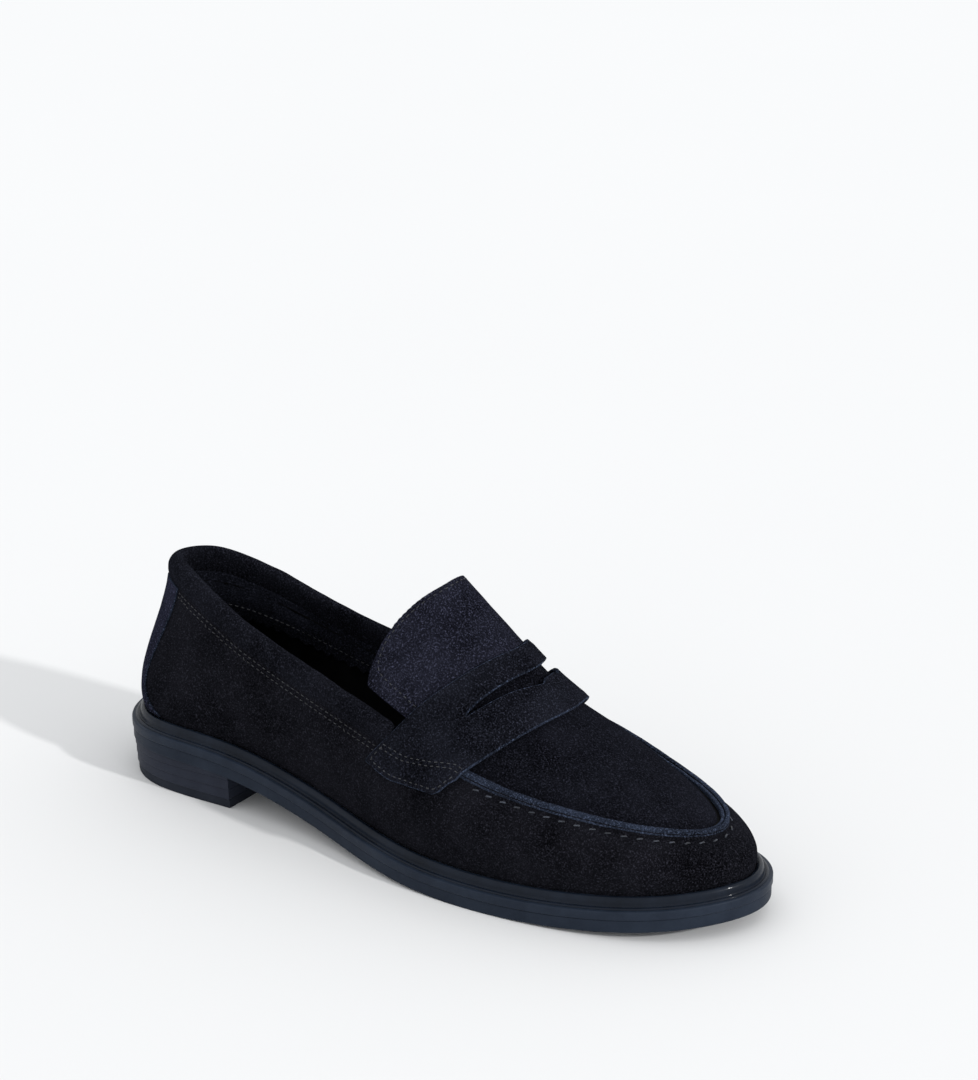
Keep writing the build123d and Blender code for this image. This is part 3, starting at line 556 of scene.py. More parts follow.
def add_bump(material, height, distance, strength, below=None):
    """Bump, over another one where below is given."""
    node = add_node(material, "ShaderNodeBump", Distance=distance, Strength=strength)
    link(material, height, node.inputs["Height"])
    if below is not None:
        link(material, below.outputs["Normal"], node.inputs["Normal"])
    link(material, node.outputs["Normal"], shader_input(material, "Normal"))
    return node


def suede(name, tone, sheen=0.02, nap=1.0):
    """Short brushed nap: mottled patches, fibre speckle, soft sheen and a felted bump."""
    dark, light = ([share * value for value in tone] for share in (SUEDE_DARK, SUEDE_LIGHT))
    material = new_material(name, dark, 0.92, 0.0, Sheen_Weight=sheen, Sheen_Roughness=0.45,
                            Sheen_Tint=(0.62, 0.68, 0.90, 1))
    patches = grain(material, 0.36, 0.66, 42, 3, 0.55)
    fibres = grain(material, 0.42, 0.64, 1500, 3, 0.75)
    flecks = grain(material, 0.56, 0.70, 1500, 2, 0.8)
    factor = weighted(material, (patches, 0.22), (fibres, 0.34), (flecks, 0.85))
    blend_colour(material, factor, dark, light)
    soft = add_bump(material, noise(material, 240, 4, 0.6), NAP_DEPTH * nap, 0.5)
    add_bump(material, fibres, NAP_DEPTH * nap, 0.9, soft)
    return material


def leather(name, dark, light):
    """Smooth leather with pores and faint creases."""
    material = new_material(name, dark, 0.5, 0.08)
    blend_colour(material, grain(material, 0.35, 0.68, 90, 5, 0.6), dark, light)
    creases = add_bump(material, noise(material, 160, 5, 0.7), 0.0004, 0.3)
    add_bump(material, noise(material, 700, 3, 0.6), 0.00015, 0.6, creases)
    return material


def rubber(name, dark, light, roughness, specular=0.10, coat=0.0, speckle=0.35):
    """Moulded rubber with a fine tooth, faint scuffs and uneven polish."""
    material = new_material(name, dark, roughness, specular, Coat_Weight=coat,
                            Coat_Roughness=0.10)
    tone = grain(material, 0.35, 0.70, 70, 6, 0.65)
    tooth = grain(material, 0.45, 0.80, 2600, 2, 0.7)
    factor = weighted(material, (tone, 1 - speckle), (tooth, speckle))
    blend_colour(material, factor, dark, light)
    rough = map_range(material, noise(material, 130, 5, 0.7), To_Min=roughness * 0.8,
                      To_Max=roughness * 1.25)
    link(material, rough, shader_input(material, "Roughness"))
    scuffs = add_bump(material, noise(material, 220, 6, 0.7, (1, 1, 6)), 0.00012, 0.35)
    add_bump(material, tooth, 0.00006, 0.5, scuffs)
    return material


def fibrous(name, dark, light, roughness, scale):
    """Board, foam, cork or felt: grains of two tones with a matching bump."""
    material = new_material(name, dark, roughness, 0.2)
    grains = grain(material, 0.35, 0.68, scale, 4, 0.7)
    blend_colour(material, grains, dark, light)
    add_bump(material, grains, 0.0003, 0.6)
    return material


def metal(name, dark, light):
    material = new_material(name, dark, 0.35, 0.5, Metallic=1.0)
    brushed = noise(material, 300, 4, 0.6, (0.1, 4, 4))
    blend_colour(material, brushed, dark, light)
    add_bump(material, brushed, 0.00003, 0.4)
    return material


def thread(name, dark, light):
    """Waxed, plied thread, lighter and darker in patches."""
    material = new_material(name, dark, 0.55, 0.35, Sheen_Weight=0.2)
    fibres = grain(material, 0.35, 0.70, 4200, 2, 0.7)
    patchy = grain(material, 0.38, 0.66, 260, 2, 0.6)
    blend_colour(material, math_node(material, "MULTIPLY", fibres, patchy), dark, light)
    add_bump(material, fibres, 0.0001, 0.7)
    return material


SUEDE_WALL = suede("suede_wall", (0.0082, 0.0082, 0.0110))
SUEDE_TRIM = suede("suede_trim", (0.0185, 0.0195, 0.0345))
SUEDE_APRON = suede("suede_apron", (0.0072, 0.0076, 0.0112))
SUEDE_STRAP = suede("suede_strap", (0.0094, 0.0102, 0.0150))
SUEDE_TONGUE = suede("suede_tongue", (0.0160, 0.0168, 0.0272))
SUEDE_COLLAR = suede("suede_collar", (0.0080, 0.0084, 0.0120))
# Cut suede edges and the ridge's top: the lighter colour of raw suede, plus a painted highlight
# where the cut edges and the ridge catch the light.
RAW_EDGE_AND_HIGHLIGHT = suede("suede_raw_edge_and_highlight", (0.0250, 0.0330, 0.0545), sheen=0.05, nap=1.6)
LINING = leather("lining_leather", (0.0016, 0.0016, 0.0019), (0.0042, 0.0042, 0.0050))
SOCK = leather("sock_leather", (0.0025, 0.0025, 0.0029), (0.0065, 0.0065, 0.0075))
BEAD = rubber("bead_rubber", (0.0045, 0.0070, 0.0125), (0.0105, 0.0155, 0.0265), 0.30,
              specular=0.06, coat=0.16, speckle=0.15)
WELT = rubber("welt_rubber", (0.0110, 0.0160, 0.0270), (0.0230, 0.0320, 0.0500), 0.42)
SOLE = rubber("sole_rubber", (0.0105, 0.0155, 0.0265), (0.0210, 0.0295, 0.0460), 0.5)
HEEL = rubber("heel_rubber", (0.0145, 0.0175, 0.0285), (0.0280, 0.0330, 0.0500), 0.5)
TOP_PIECE = rubber("top_piece_rubber", (0.0110, 0.0135, 0.0210), (0.0220, 0.0265, 0.0385), 0.6)
APRON_THREAD = thread("apron_thread", (0.0100, 0.0130, 0.0210), (0.1100, 0.1300, 0.1750))
EDGE_THREAD = thread("edge_thread", (0.0100, 0.0110, 0.0150), (0.0700, 0.0750, 0.0880))
STIFFENER = fibrous("stiffener_board", (0.20, 0.17, 0.13), (0.36, 0.31, 0.24), 0.85, 900)
FOAM = fibrous("open_cell_foam", (0.40, 0.39, 0.35), (0.62, 0.60, 0.55), 0.95, 1400)
CORK = fibrous("pressed_cork", (0.16, 0.09, 0.045), (0.44, 0.29, 0.16), 0.9, 380)
BOARD = fibrous("insole_board", (0.24, 0.19, 0.12), (0.40, 0.33, 0.23), 0.85, 1100)
STEEL = metal("spring_steel", (0.42, 0.42, 0.43), (0.62, 0.62, 0.63))

# CAD pieces that stay as they are, with materials of their own.
CAD_FINISH = {"heel_counter": STIFFENER, "toe_puff": STIFFENER, "collar_foam": FOAM,
              "bottom_filler": CORK, "insole_board": BOARD, "steel_shank": STEEL,
              "wall_lining": LINING, "apron_lining": LINING}
for node, material in CAD_FINISH.items():
    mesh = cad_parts[node].data
    mesh.materials.clear()
    mesh.materials.append(material)


# -------- sole and heel
HALF_RING = 240
BREAST_POINTS = 40


def plan_ring(inset, x_high=None):
    """Plan points of the sole's edge, inside it by inset, from the back of the heel
    round the lateral side; cut off square at x_high."""
    if x_high is None:
        return edge_point(np.linspace(0, 1, 2 * HALF_RING, endpoint=False), inset, 0)[:, :2]
    u = np.linspace(0.02, 0.40, 800)
    sides = []
    for sign in (1, -1):
        end = np.interp(x_high, edge_point(sign * u, inset, 0)[:, 0], u)
        sides.append(edge_point(sign * np.linspace(0, end, HALF_RING), inset, 0)[:, :2])
    lateral, medial = sides
    across = np.linspace(lateral[-1], medial[-1], BREAST_POINTS + 2)[1:-1]
    return np.concatenate([lateral, across, medial[:0:-1]])


def mark_sharp(piece, degrees):
    """Turns all faces outward and keeps edges sharper than an angle crisp."""
    mesh = piece.data
    work = bmesh.new()
    work.from_mesh(mesh)
    bmesh.ops.recalc_face_normals(work, faces=work.faces)
    for edge in work.edges:
        if len(edge.link_faces) == 2:
            edge.smooth = edge.calc_face_angle(0) < math.radians(degrees)
    work.to_mesh(mesh)
    work.free()


def sole_piece(name, low, high, inset, material, x_high=None, radius=0.35):
    """Layer of the sole between two heights above the ground, with softened edges."""
    turn = np.linspace(0, math.pi / 2, 4)
    profile = [(radius * (1 - math.sin(a)), radius * (1 - math.cos(a)), 0.0) for a in turn]
    profile += [(0.0, 0.0, share) for share in (0.25, 0.5, 0.75)]
    profile += [(radius * (1 - math.cos(a)), -radius * (1 - math.sin(a)), 1.0) for a in turn]
    rings = []
    for extra, lift, share in profile:
        plan = plan_ring(inset + extra, None if x_high is None else x_high - extra)
        z = low(plan[:, 0]) * (1 - share) + high(plan[:, 0]) * share + lift
        rings.append(np.column_stack([plan, z]))
    grid = np.stack(rings, 1)
    rows, columns = grid.shape[:2]
    faces = grid_faces(rows, columns, closed=True).tolist()
    for i in range(rows // 2):
        corners = list(dict.fromkeys([i, i + 1, (rows - i - 1) % rows, (rows - i) % rows]))
        if len(corners) > 2:
            faces.append([c * columns for c in corners])
            faces.append([(c + 1) * columns - 1 for c in reversed(corners)])
    piece = make_object(name, grid.reshape(-1, 3), faces, [material])
    mark_sharp(piece, 40)
    return piece


def level(height):
    return lambda x: sole_line(x) + height


def build_sole():
    outsole = sole_piece("sole_tread", level(0.0), level(OUTSOLE_THICKNESS), OUTSOLE_INSET, SOLE)
    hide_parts("outsole")
    welt = sole_piece("welt_ledge", level(OUTSOLE_THICKNESS + LAYER_LINE), level(WELT_TOP), 0.0,
                      WELT, radius=0.55)
    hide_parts("welt_layer")


def build_heel():
    """Layers of the heel, each set in a little more than the one above it."""
    def between(back, breast):
        return lambda x: back + (breast - back) * np.asarray(x) / HEEL_BREAST_X

    heel_height = SOLE_LINE[0][1]
    top = TOP_PIECE_THICKNESS
    lines = [between(0, 0), between(top, top),
             between(top + LIFT_THICKNESS, (top + heel_height - WEDGE_BREAST) / 2),
             between(top + 2 * LIFT_THICKNESS, heel_height - WEDGE_BREAST), level(0)]
    names = ["heel_top_piece", "heel_lift_lower", "heel_lift_upper", "heel_wedge"]
    for i, name in enumerate(names):
        piece = sole_piece("look_" + name, lines[i], lines[i + 1], HEEL_INSET + HEEL_STEPS[i],
                           HEEL if i else TOP_PIECE, x_high=HEEL_BREAST_X, radius=0.3)
        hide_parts(name)


# Section of the storm welt: inset from the sole's edge and height above the welt layer.
BEAD_SECTION = [(1.5, 0.02), (1.62, 0.36), (2.3, 0.72), (2.9, 0.60), (3.25, 0.75), (3.42, 1.6),
                (3.50, 2.5), (3.85, 3.5), (4.55, 4.12), (5.3, 4.2), (6.0, 3.9), (6.5, 3.2),
                (6.55, 0.02)]


def build_storm_welt():
    u = np.linspace(0, 1, 720, endpoint=False)
    section = Curve(range(len(BEAD_SECTION)), BEAD_SECTION)
    grid = np.stack([edge_point(u, inset, WELT_TOP + height)
                     for inset, height in section(np.linspace(0, len(BEAD_SECTION) - 1, 49))], 1)
    faces = grid_faces(*grid.shape[:2], closed=True, tube=True)
    piece = make_object("storm_welt_bead", grid.reshape(-1, 3), faces, [BEAD])
    mark_sharp(piece, 60)
    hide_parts("storm_welt")


# -------- the footbed
SOCK_INSET = 11.7
SOCK_HEIGHT = 5.35  # of its seat above the welt layer
SOCK_LIFT = 1.15  # from its seat to its upper side
PAD_RISE = 2.2
PAD_FADE = (66, 96)  # where the heel pad's rise runs out, along the shoe
PAD_END = 92
PAD_HEIGHT = 5.1


def build_footbed():
    """Sock of smooth leather over the heel pad, a little dished and curled at its edge."""
    half = np.linspace(0.004, 0.496, 200)
    w = np.linspace(0, 1, 33)[None, :, None]
    left = edge_point(half, SOCK_INSET, 0)[:, None]
    right = edge_point(1 - half, SOCK_INSET, 0)[:, None]
    grid = left * (1 - w) + right * w
    x = grid[..., 0]
    base = sole_line(x) + WELT_TOP + SOCK_HEIGHT + PAD_RISE * (1 - ramp(x, *PAD_FADE))
    curl = np.abs(2 * w[..., 0] - 1) ** 8
    grid[..., 2] = base + SOCK_LIFT + curl + 0.25 * unevenness(grid * 0.6)
    sock = make_sheet("sock_liner_leather", grid, 1.0, 0.5, [SOCK])
    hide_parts("sock_liner")
    pad = grid[x[:, 0] < PAD_END][:, 2:-2].copy()
    pad[..., 2] -= SOCK_LIFT + curl[:, 2:-2]
    under = pad.copy()
    under[..., 2] = np.minimum(level(WELT_TOP + PAD_HEIGHT)(pad[..., 0]), pad[..., 2] - 0.2)
    foam = make_sheet("heel_pad_foam", pad, under, 0.4, [FOAM])
    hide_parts("heel_pad")


# -------- the upper
APRON_STITCH = (0.8, 5.8, 2.4)  # below the seam, pitch, length
STRAND_SLANT = 0.25
STRAND_SHIFT = 0.15
APRON_SINK = 0.14  # of the stitches into the suede
MACHINE_SINK = 0.12
STITCH_LIFT = 0.05  # of stitches that lie on the suede
APRON_DIMPLE = (0.45, 1.3)  # depth, radius
COLLAR_DIMPLE = (0.30, 1.0)
SUEDE_WAVE = 0.10  # height of a suede sheet's unevenness
COLLAR_ROWS = (1.5, 3.5)  # below the seam
MACHINE_STITCH = (2.6, 1.4)  # pitch, length
COLLAR_START = STRAP_REAR[1] + 0.005
COLLAR_END = STRAP_REAR[0] - 0.005
BACKSTAY_CLEAR = 0.064
WALL_ROWS = 84
FOOT_ROWS = 10  # rows over which the wall's unevenness fades in
RIDGE_ROW = 78  # rows of the wall's mesh from here up are the ridge's top, in raw-edge colour with a painted highlight, with one dark row between its two layers
RIDGE_LINE = 80  # with one dark row between its two layers


def machine_stitches(name, lines, rise, body="shoe"):
    """Rows of machine stitches along lines with their normals, some way above them."""
    rows = [stitch_mesh(line + out * rise, out, *MACHINE_STITCH) for line, out in lines]
    return stitch_object(name, rows, EDGE_THREAD, body)


def around_heel(spare, count):
    """Ring positions of the collar, from the medial side round the heel, with some spare."""
    return np.linspace(COLLAR_START - spare, 1 + COLLAR_END + spare, count)


def wall_line(u, below):
    """Line on the side wall at a distance under its seam, with its outward normals."""
    profile = even_rows(wall_profiles(u, lip=False), 200)
    out = normals(profile)
    row = [np.searchsorted(line, line[-1] - below) for line in distance_along(profile)[:, 1:]]
    at = np.arange(len(u))
    return profile[at, row], out[at, row]


def build_wall():
    """Side wall with its raised edge, dimpled where it is sewn, and its two kinds of stitch."""
    apron_u = np.linspace(STRAP_FRONT[0] + 0.010, STRAP_FRONT[1] - 0.010, 2400)
    apron_line, apron_out = wall_line(apron_u, APRON_STITCH[0])
    collar_lines = [wall_line(np.linspace(start, end, 1200), below)
                    for start, end in ((COLLAR_START + 0.004, 1 - BACKSTAY_CLEAR),
                                       (BACKSTAY_CLEAR, COLLAR_END - 0.003))
                    for below in COLLAR_ROWS]
    u = np.linspace(0.0008, 0.9992, 700)
    outer = even_rows(wall_profiles(u), WALL_ROWS)
    lift = SUEDE_WAVE * unevenness(outer)
    lift -= dimples(outer, apron_line[spaced(apron_line, APRON_STITCH[1])], *APRON_DIMPLE)
    for line, _ in collar_lines:
        lift -= dimples(outer, line[spaced(line, MACHINE_STITCH[0])], *COLLAR_DIMPLE)
    lift *= np.clip(np.arange(WALL_ROWS) / FOOT_ROWS, 0, 1)
    outer = outer + normals(outer) * lift[..., None]
    row = np.arange(WALL_ROWS - 1)
    ridge = (row >= RIDGE_ROW) & (row != RIDGE_LINE)
    # The ridge rows take the raw-edge material: raw suede colour plus a painted highlight on the
    # ridge's lit top.
    raised = ridge & (collar_share(u[:-1]) < 0.6)[:, None]
    wall = make_sheet("suede_side_wall", outer, UPPER_THICKNESS, EDGE_BULGE, [SUEDE_WALL, RAW_EDGE_AND_HIGHLIGHT],
                      raised=raised.ravel())
    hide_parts("upper_wall")
    strands = [stitch_mesh(apron_line - apron_out * APRON_SINK, apron_out, *APRON_STITCH[1:],
                           STRAND_SLANT, shift) for shift in (-STRAND_SHIFT, STRAND_SHIFT)]
    sewn = stitch_object("apron_stitches", strands, APRON_THREAD)
    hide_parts("apron_thread")
    sewn = machine_stitches("collar_stitches", collar_lines, -MACHINE_SINK)
    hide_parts("collar_thread")


BACKSTAY_SPAN = (0.09, 0.995)  # shares of the wall's height
BACKSTAY_HALF = 0.060  # half its width as a ring distance, above its foot
BACKSTAY_SPREAD = 0.030  # more of it at the foot
BACKSTAY_FOOT = 0.23  # height of the foot, as a share of the wall's
BACKSTAY_REACH = 0.092
BACKSTAY_LIFT = 1.25
BACKSTAY_THIN = 0.35  # less lift at its side edges
FINE_ROWS = 401


def build_backstay():
    """Strip over the heel seam, spreading to a rounded foot at the welt."""
    rows = np.linspace(*BACKSTAY_SPAN, 120)
    foot = np.clip(1 - (rows - BACKSTAY_SPAN[0]) / BACKSTAY_FOOT, 0, 1)
    half = BACKSTAY_HALF + BACKSTAY_SPREAD * foot ** 2
    share = np.linspace(-1, 1, 61)
    u = np.linspace(-BACKSTAY_REACH, BACKSTAY_REACH, 401)
    even = even_rows(wall_profiles(u, lip=False), FINE_ROWS)
    grid = np.empty((len(share), len(rows), 3))
    for j, (row, reach) in enumerate(zip(rows, half)):
        line = even[:, int(round(row * (FINE_ROWS - 1)))]
        for axis in range(3):
            grid[:, j, axis] = np.interp(share * reach, u, line[:, axis])
    out = normals(grid)
    lift = BACKSTAY_LIFT - BACKSTAY_THIN * np.abs(share)[:, None] ** 6 + 0.08 * unevenness(grid)
    # Its cut edges take the raw-edge material: raw suede colour plus a painted highlight.
    strip = make_sheet("heel_backstay", grid + out * lift[..., None], grid + out * 0.05, 0.5,
                       [SUEDE_TRIM, RAW_EDGE_AND_HIGHLIGHT])
    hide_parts("backstay")


# Section of the padded collar: outward and up from its seam, then back under the foam.
COLLAR_SECTION = [(0.2, 0.1), (1.7, 3), (2.2, 6.4), (0.8, 9.2), (-1.2, 9.8), (-3.2, 8.3),
                  (-3.9, 4.5), (-3.7, -1.2), (-2.6, -1.9), (-1.0, -0.8)]
SEWN_AT = ((0.6, 0.9), (7.2, 0.8))  # where it is sewn down, on its section, and how widely
PUCKER = 0.16
COLLAR_TUCK = (0.9, 5.0)  # how much its ends are drawn in, and over what length


def build_collar():
    """Padded roll round the top line, puckered where it is sewn down."""
    u = around_heel(0.004, 900)
    base = seam(u)
    rise = rim(u) - base
    rise /= np.linalg.norm(rise, axis=1, keepdims=True)
    section = Curve(range(len(COLLAR_SECTION) + 1), COLLAR_SECTION, closed=True)
    t = np.linspace(0, len(COLLAR_SECTION), 53)[:-1]
    point = section(t)
    grid = (base[:, None] + outward(u)[:, None] * point[None, :, :1]
            + rise[:, None] * point[None, :, 1:])
    length = distance_along(base)
    low = sum(np.exp(-((t - at) / width) ** 2) for at, width in SEWN_AT)
    pucker = np.cos(2 * math.pi * length / MACHINE_STITCH[0])[:, None] * low * PUCKER
    tuck = COLLAR_TUCK[0] * (1 - ramp(np.minimum(length, length[-1] - length), 0, COLLAR_TUCK[1]))
    normal = normals(np.concatenate([grid[:, -1:], grid, grid[:, :1]], axis=1))[:, 1:-1]
    if ((grid - grid.mean(axis=1, keepdims=True)) * normal).sum() < 0:
        normal = -normal
    lift = pucker + 0.22 * unevenness(grid * 0.55) - tuck[:, None]
    grid = grid + normal * lift[..., None]
    rows, columns = grid.shape[:2]
    faces = grid_faces(rows, columns, tube=True).tolist()
    faces += [list(range(columns)), list(range(rows * columns - 1, (rows - 1) * columns - 1, -1))]
    roll = make_object("padded_collar", grid.reshape(-1, 3), faces, [SUEDE_COLLAR])
    mark_sharp(roll, 70)
    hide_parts("collar")


FACING_DEPTH = 4.6
FACING_THICKNESS = 0.9
FACING_SPAN = (0.63, 0.985)  # shares of the wall's height
FACING_LEAN = 1.5  # its top leans out to meet the collar's roll
FACING_ROWS = 28
TOOTH_PITCH = 5.2
TOOTH_DEPTH = 0.045
SEWN_ROW = 10  # of the facing, and how many columns it stops short of each end
SEWN_SHORT = 8


def build_facing():
    """Suede facing inside the collar with a pinked lower edge and one line of stitches."""
    profiles = wall_profiles(around_heel(0, 1500), lip=False)
    length = distance_along(profiles[:, -1])
    wander = 0.22 * np.sin(length / 9.5) + 0.15 * np.sin(length / 4.1)
    tooth = np.abs(np.mod(length / TOOTH_PITCH + wander, 1) * 2 - 1)
    low = FACING_SPAN[0] + TOOTH_DEPTH * tooth + 0.008 * np.sin(length / 17)
    straight = even_rows(profiles, FACING_ROWS, *FACING_SPAN)
    out = normals(straight)
    lean = FACING_LEAN * ramp(np.linspace(0, 1, FACING_ROWS), 0.45, 1.0)[:, None]
    inner = even_rows(profiles, FACING_ROWS, low, FACING_SPAN[1]) - out * (FACING_DEPTH - lean)
    outer = inner - out * FACING_THICKNESS
    outer = outer - out * (0.12 * unevenness(outer))[..., None]
    faces = grid_faces(*outer.shape[:2])[:, ::-1]
    facing = make_sheet("pinked_facing", outer, inner, 0.4, [SUEDE_STRAP], faces)
    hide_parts("inner_facing")
    sewn_out = -out[SEWN_SHORT:-SEWN_SHORT, SEWN_ROW]
    line = straight[SEWN_SHORT:-SEWN_SHORT, SEWN_ROW]
    sewn = machine_stitches("facing_stitches", [(line, sewn_out)],
                            FACING_DEPTH + FACING_THICKNESS + STITCH_LIFT)


# -------- apron
APRON_MESH = (130, 120)  # rows and columns
APRON_THICKNESS = 1.35
APRON_TUCK = 0.04
APRON_DROP = 0.2
APRON_DIP = 1.1  # under the strap
DIP_FADE = (1.9, 2.5)  # stations where the dip runs out
APRON_SHOULDER = 3.2
SHOULDER_FADE = (1.3, 2.0)
SHOULDER_WIDTH = 0.16
LIP_INSET = RIDGE_HALF_WIDTH
LIP_REACH = 6.0
LIP_DEPTH = 2.4
LIP_FADE = 3.0
LIP_STEPS = np.array([0.12, 0.3, 0.5, 0.7, 0.88, 1])
LIP_LEAN = 0.35


def apron_patch(rows, columns):
    """Apron's top inside its turned-up edge; its last row follows the toe's arc."""
    last = len(INSTEP_STATIONS) - 1
    edge = 0.5 - 0.5 * np.cos(np.linspace(0, math.pi, columns))
    w = 0.35 * edge + 0.65 * np.linspace(0, 1, columns)
    rear = strap_station(0, w) + APRON_TUCK
    k = rear + (last - rear) * np.linspace(0, 1, rows)[:, None]
    grid = instep(k, w)
    a = station_lateral(last)
    u = a + (station_medial(last) - a) * w
    toe = rim(u) - outward(u) * EDGE_TUCK
    grid = grid + ramp(k, last - 2, last)[..., None] * (toe - grid[-1])
    dip = APRON_DIP * (1 - ramp(k, *DIP_FADE)) * (1 - (2 * w - 1) ** 4)
    dip = dip + APRON_SHOULDER * (1 - ramp(k, *SHOULDER_FADE)) * (1 - ramp(w, 0, SHOULDER_WIDTH))
    return grid - UP * (APRON_DROP + dip[..., None])


def build_apron():
    """Apron with an edge that turns up along the wall's to make the raised seam."""
    rows, columns = APRON_MESH
    flat = apron_patch(rows, columns).reshape(-1, 3)
    ring = np.linspace(0.1, 0.9, 6000)
    crest = rim(ring)[:, :2]
    best = np.array([((crest - point) ** 2).sum(axis=1).argmin() for point in flat[:, :2]])
    gap = np.linalg.norm(flat[:, :2] - crest[best], axis=1)[:, None]
    inward = -outward(ring[best])
    flat = (flat + inward * LIP_INSET * np.exp(-gap / LIP_REACH)
            - UP * LIP_DEPTH * np.exp(-(gap / LIP_FADE) ** 2))
    side = np.arange(rows) * columns
    loop = np.concatenate([side, side[-1] + np.arange(1, columns - 1), (side + columns - 1)[::-1]])
    height = ((LIP_DEPTH - 0.1) * LIP_STEPS)[:, None, None]
    lip = flat[loop] + UP * height - inward[loop] * LIP_LEAN * (1 - np.exp(-height / 0.5))
    lip += SUEDE_WAVE * unevenness(lip)[..., None] * np.array([1, 1, 0.6])
    chain = [loop] + [len(flat) + i * len(loop) + np.arange(len(loop)) for i in range(len(lip))]
    faces = np.concatenate([grid_faces(rows, columns)] + [
        np.stack([near[1:], near[:-1], far[:-1], far[1:]], -1)
        for near, far in zip(chain[:-1], chain[1:])])
    points = np.concatenate([flat, lip.reshape(-1, 3)])
    normal = vertex_normals(points, faces)[:len(flat)]
    points[:len(flat)] += normal * (SUEDE_WAVE * unevenness(flat))[:, None]
    if normal[:, 2].mean() < 0:
        faces = faces[:, ::-1]
    # The lip's quads take the raw-edge material: raw suede colour plus a painted highlight on the
    # lit ridge.
    tall = np.arange(len(faces)) >= (rows - 1) * (columns - 1) + 2 * (len(loop) - 1)
    apron = make_sheet("suede_apron", points, APRON_THICKNESS, 0.5, [SUEDE_APRON, RAW_EDGE_AND_HIGHLIGHT],
                       faces, tall)
    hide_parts("apron")


# -------- saddle strap
FLAP_SHARES = [0, 0.4, 0.75, 0.9, 1]  # across a flap, from its rear edge to its front
FLAP_LENGTH = [8.2, 9.2, 11.0, 11.3, 7.2]  # below the rim at those shares
FLAP_TOP = 1.5
FLAP_SWING = (0.008, 0.002)  # ring distance that its rear and front edge trail
FLAP_FLARE = 0.006
FLAP_OFFSET = 0.9
CREST_LIFT = 0.4
STRAP_LIFT = STRAP_GAP + STRAP_THICKNESS  # of its top over the surface it lies on
STRAP_CUSHION = 0.35
SLOT_CENTRE = 0.57
SLOT_HALF = 0.295
SLOT_MIDDLE = 0.46
SLOT_RISE = 0.165
SLOT_FALL = 0.09
TAB_HALF = 0.034
TAB_TOP = 0.485
TAB_EDGES = (0.70, 1.25)
REAR_CORNER = (0.05, 0.010)  # depth across the strap, length along it
FRONT_CORNER = (0.14, 0.045)
CROSSING_LINES = (-0.5, 1.5)  # stitch rows across the strap, above the rim
SEAM_SHARES = [0.045, 0.045, 0.06, 0.75, 0.90, 0.955]  # the stitch row round a flap,
SEAM_ENDS = [0.060, 0.020, 0.012, 0.012, 0.020, 0.060]  # across and along the strap
flap_reach = Curve(FLAP_SHARES, FLAP_LENGTH)


def flap_points(u, drop):
    """Points beside the wall at ring positions u, by distance down from its top edge."""
    profile = even_rows(wall_profiles(u), 120)
    length = distance_along(profile[0])
    row = np.searchsorted(length, length[-1] - drop)
    return profile[np.arange(len(u)), row] + outward(u) * FLAP_OFFSET


def strap_base(rows=13):
    """Surface that the strap lies on, from the lateral flap to the medial flap."""
    lines = []
    w = np.linspace(0, 1, 31)[2:-2]
    for share in np.linspace(0, 1, rows):
        reach = flap_reach(share)
        drop = np.linspace(reach, FLAP_TOP, 8)
        trail = FLAP_SWING[0] + (FLAP_SWING[1] - FLAP_SWING[0]) * share
        trail = trail + FLAP_FLARE * (drop - FLAP_TOP) / (reach - FLAP_TOP)
        k = strap_station(share, 0.0)
        lateral = flap_points(station_lateral(k) - trail, drop)
        medial = flap_points(station_medial(k) + trail, drop)
        top = instep(strap_station(share, w), w) + UP * CREST_LIFT
        lines.append(np.concatenate([lateral, top, medial[::-1]]))
    grid = even_rows(np.array(lines), 61)
    for _ in range(4):
        grid[:, 1:-1] = (grid[:, :-2] + 2 * grid[:, 1:-1] + grid[:, 2:]) / 4
    return grid


def fine(grid, rows, columns):
    """Smooth cubic resampling of a grid in both directions."""
    for count in (columns, rows):
        across = Curve(range(grid.shape[1]), grid.transpose(1, 0, 2))
        grid = across(np.linspace(0, grid.shape[1] - 1, count))
    return grid


def on_grid(grid, across, along):
    """Points of a dense grid at shares of its width and length."""
    row = across * (grid.shape[0] - 1)
    column = along * (grid.shape[1] - 1)
    i = np.floor(row).astype(int).clip(0, grid.shape[0] - 2)
    j = np.floor(column).astype(int).clip(0, grid.shape[1] - 2)
    s = (row - i)[..., None]
    t = (column - j)[..., None]
    near = grid[i, j] * (1 - t) + grid[i, j + 1] * t
    far = grid[i + 1, j] * (1 - t) + grid[i + 1, j + 1] * t
    return near * (1 - s) + far * s


def slot_edges(along):
    """Upper and lower edge of the slot, with its tab, as shares of the strap's width."""
    s = (along - SLOT_CENTRE) / SLOT_HALF
    inside = np.abs(s) < 1
    round_off = (1 - s ** 2).clip(0)
    upper = SLOT_MIDDLE - SLOT_RISE * np.sqrt(round_off)
    tab = 1 - ramp(np.abs(along - SLOT_CENTRE) / TAB_HALF, *TAB_EDGES)
    lower = (SLOT_MIDDLE + SLOT_FALL * round_off ** 8) * (1 - tab) + TAB_TOP * tab
    return upper, np.where(inside, lower, upper), inside


def strap_ends(along):
    """First and last share of the strap's width, rounded at the corners of the flaps."""
    end = np.minimum(along, 1 - along)
    rear, front = (depth * (1 - np.sqrt(1 - np.clip(1 - end / length, 0, 1) ** 2))
                   for depth, length in (REAR_CORNER, FRONT_CORNER))
    return rear, 1 - front


def smooth_line(values, width):
    """Running mean that rounds the corners of a line."""
    padded = np.pad(values, width // 2, mode="edge")
    return np.convolve(padded, np.ones(width) / width, mode="valid")


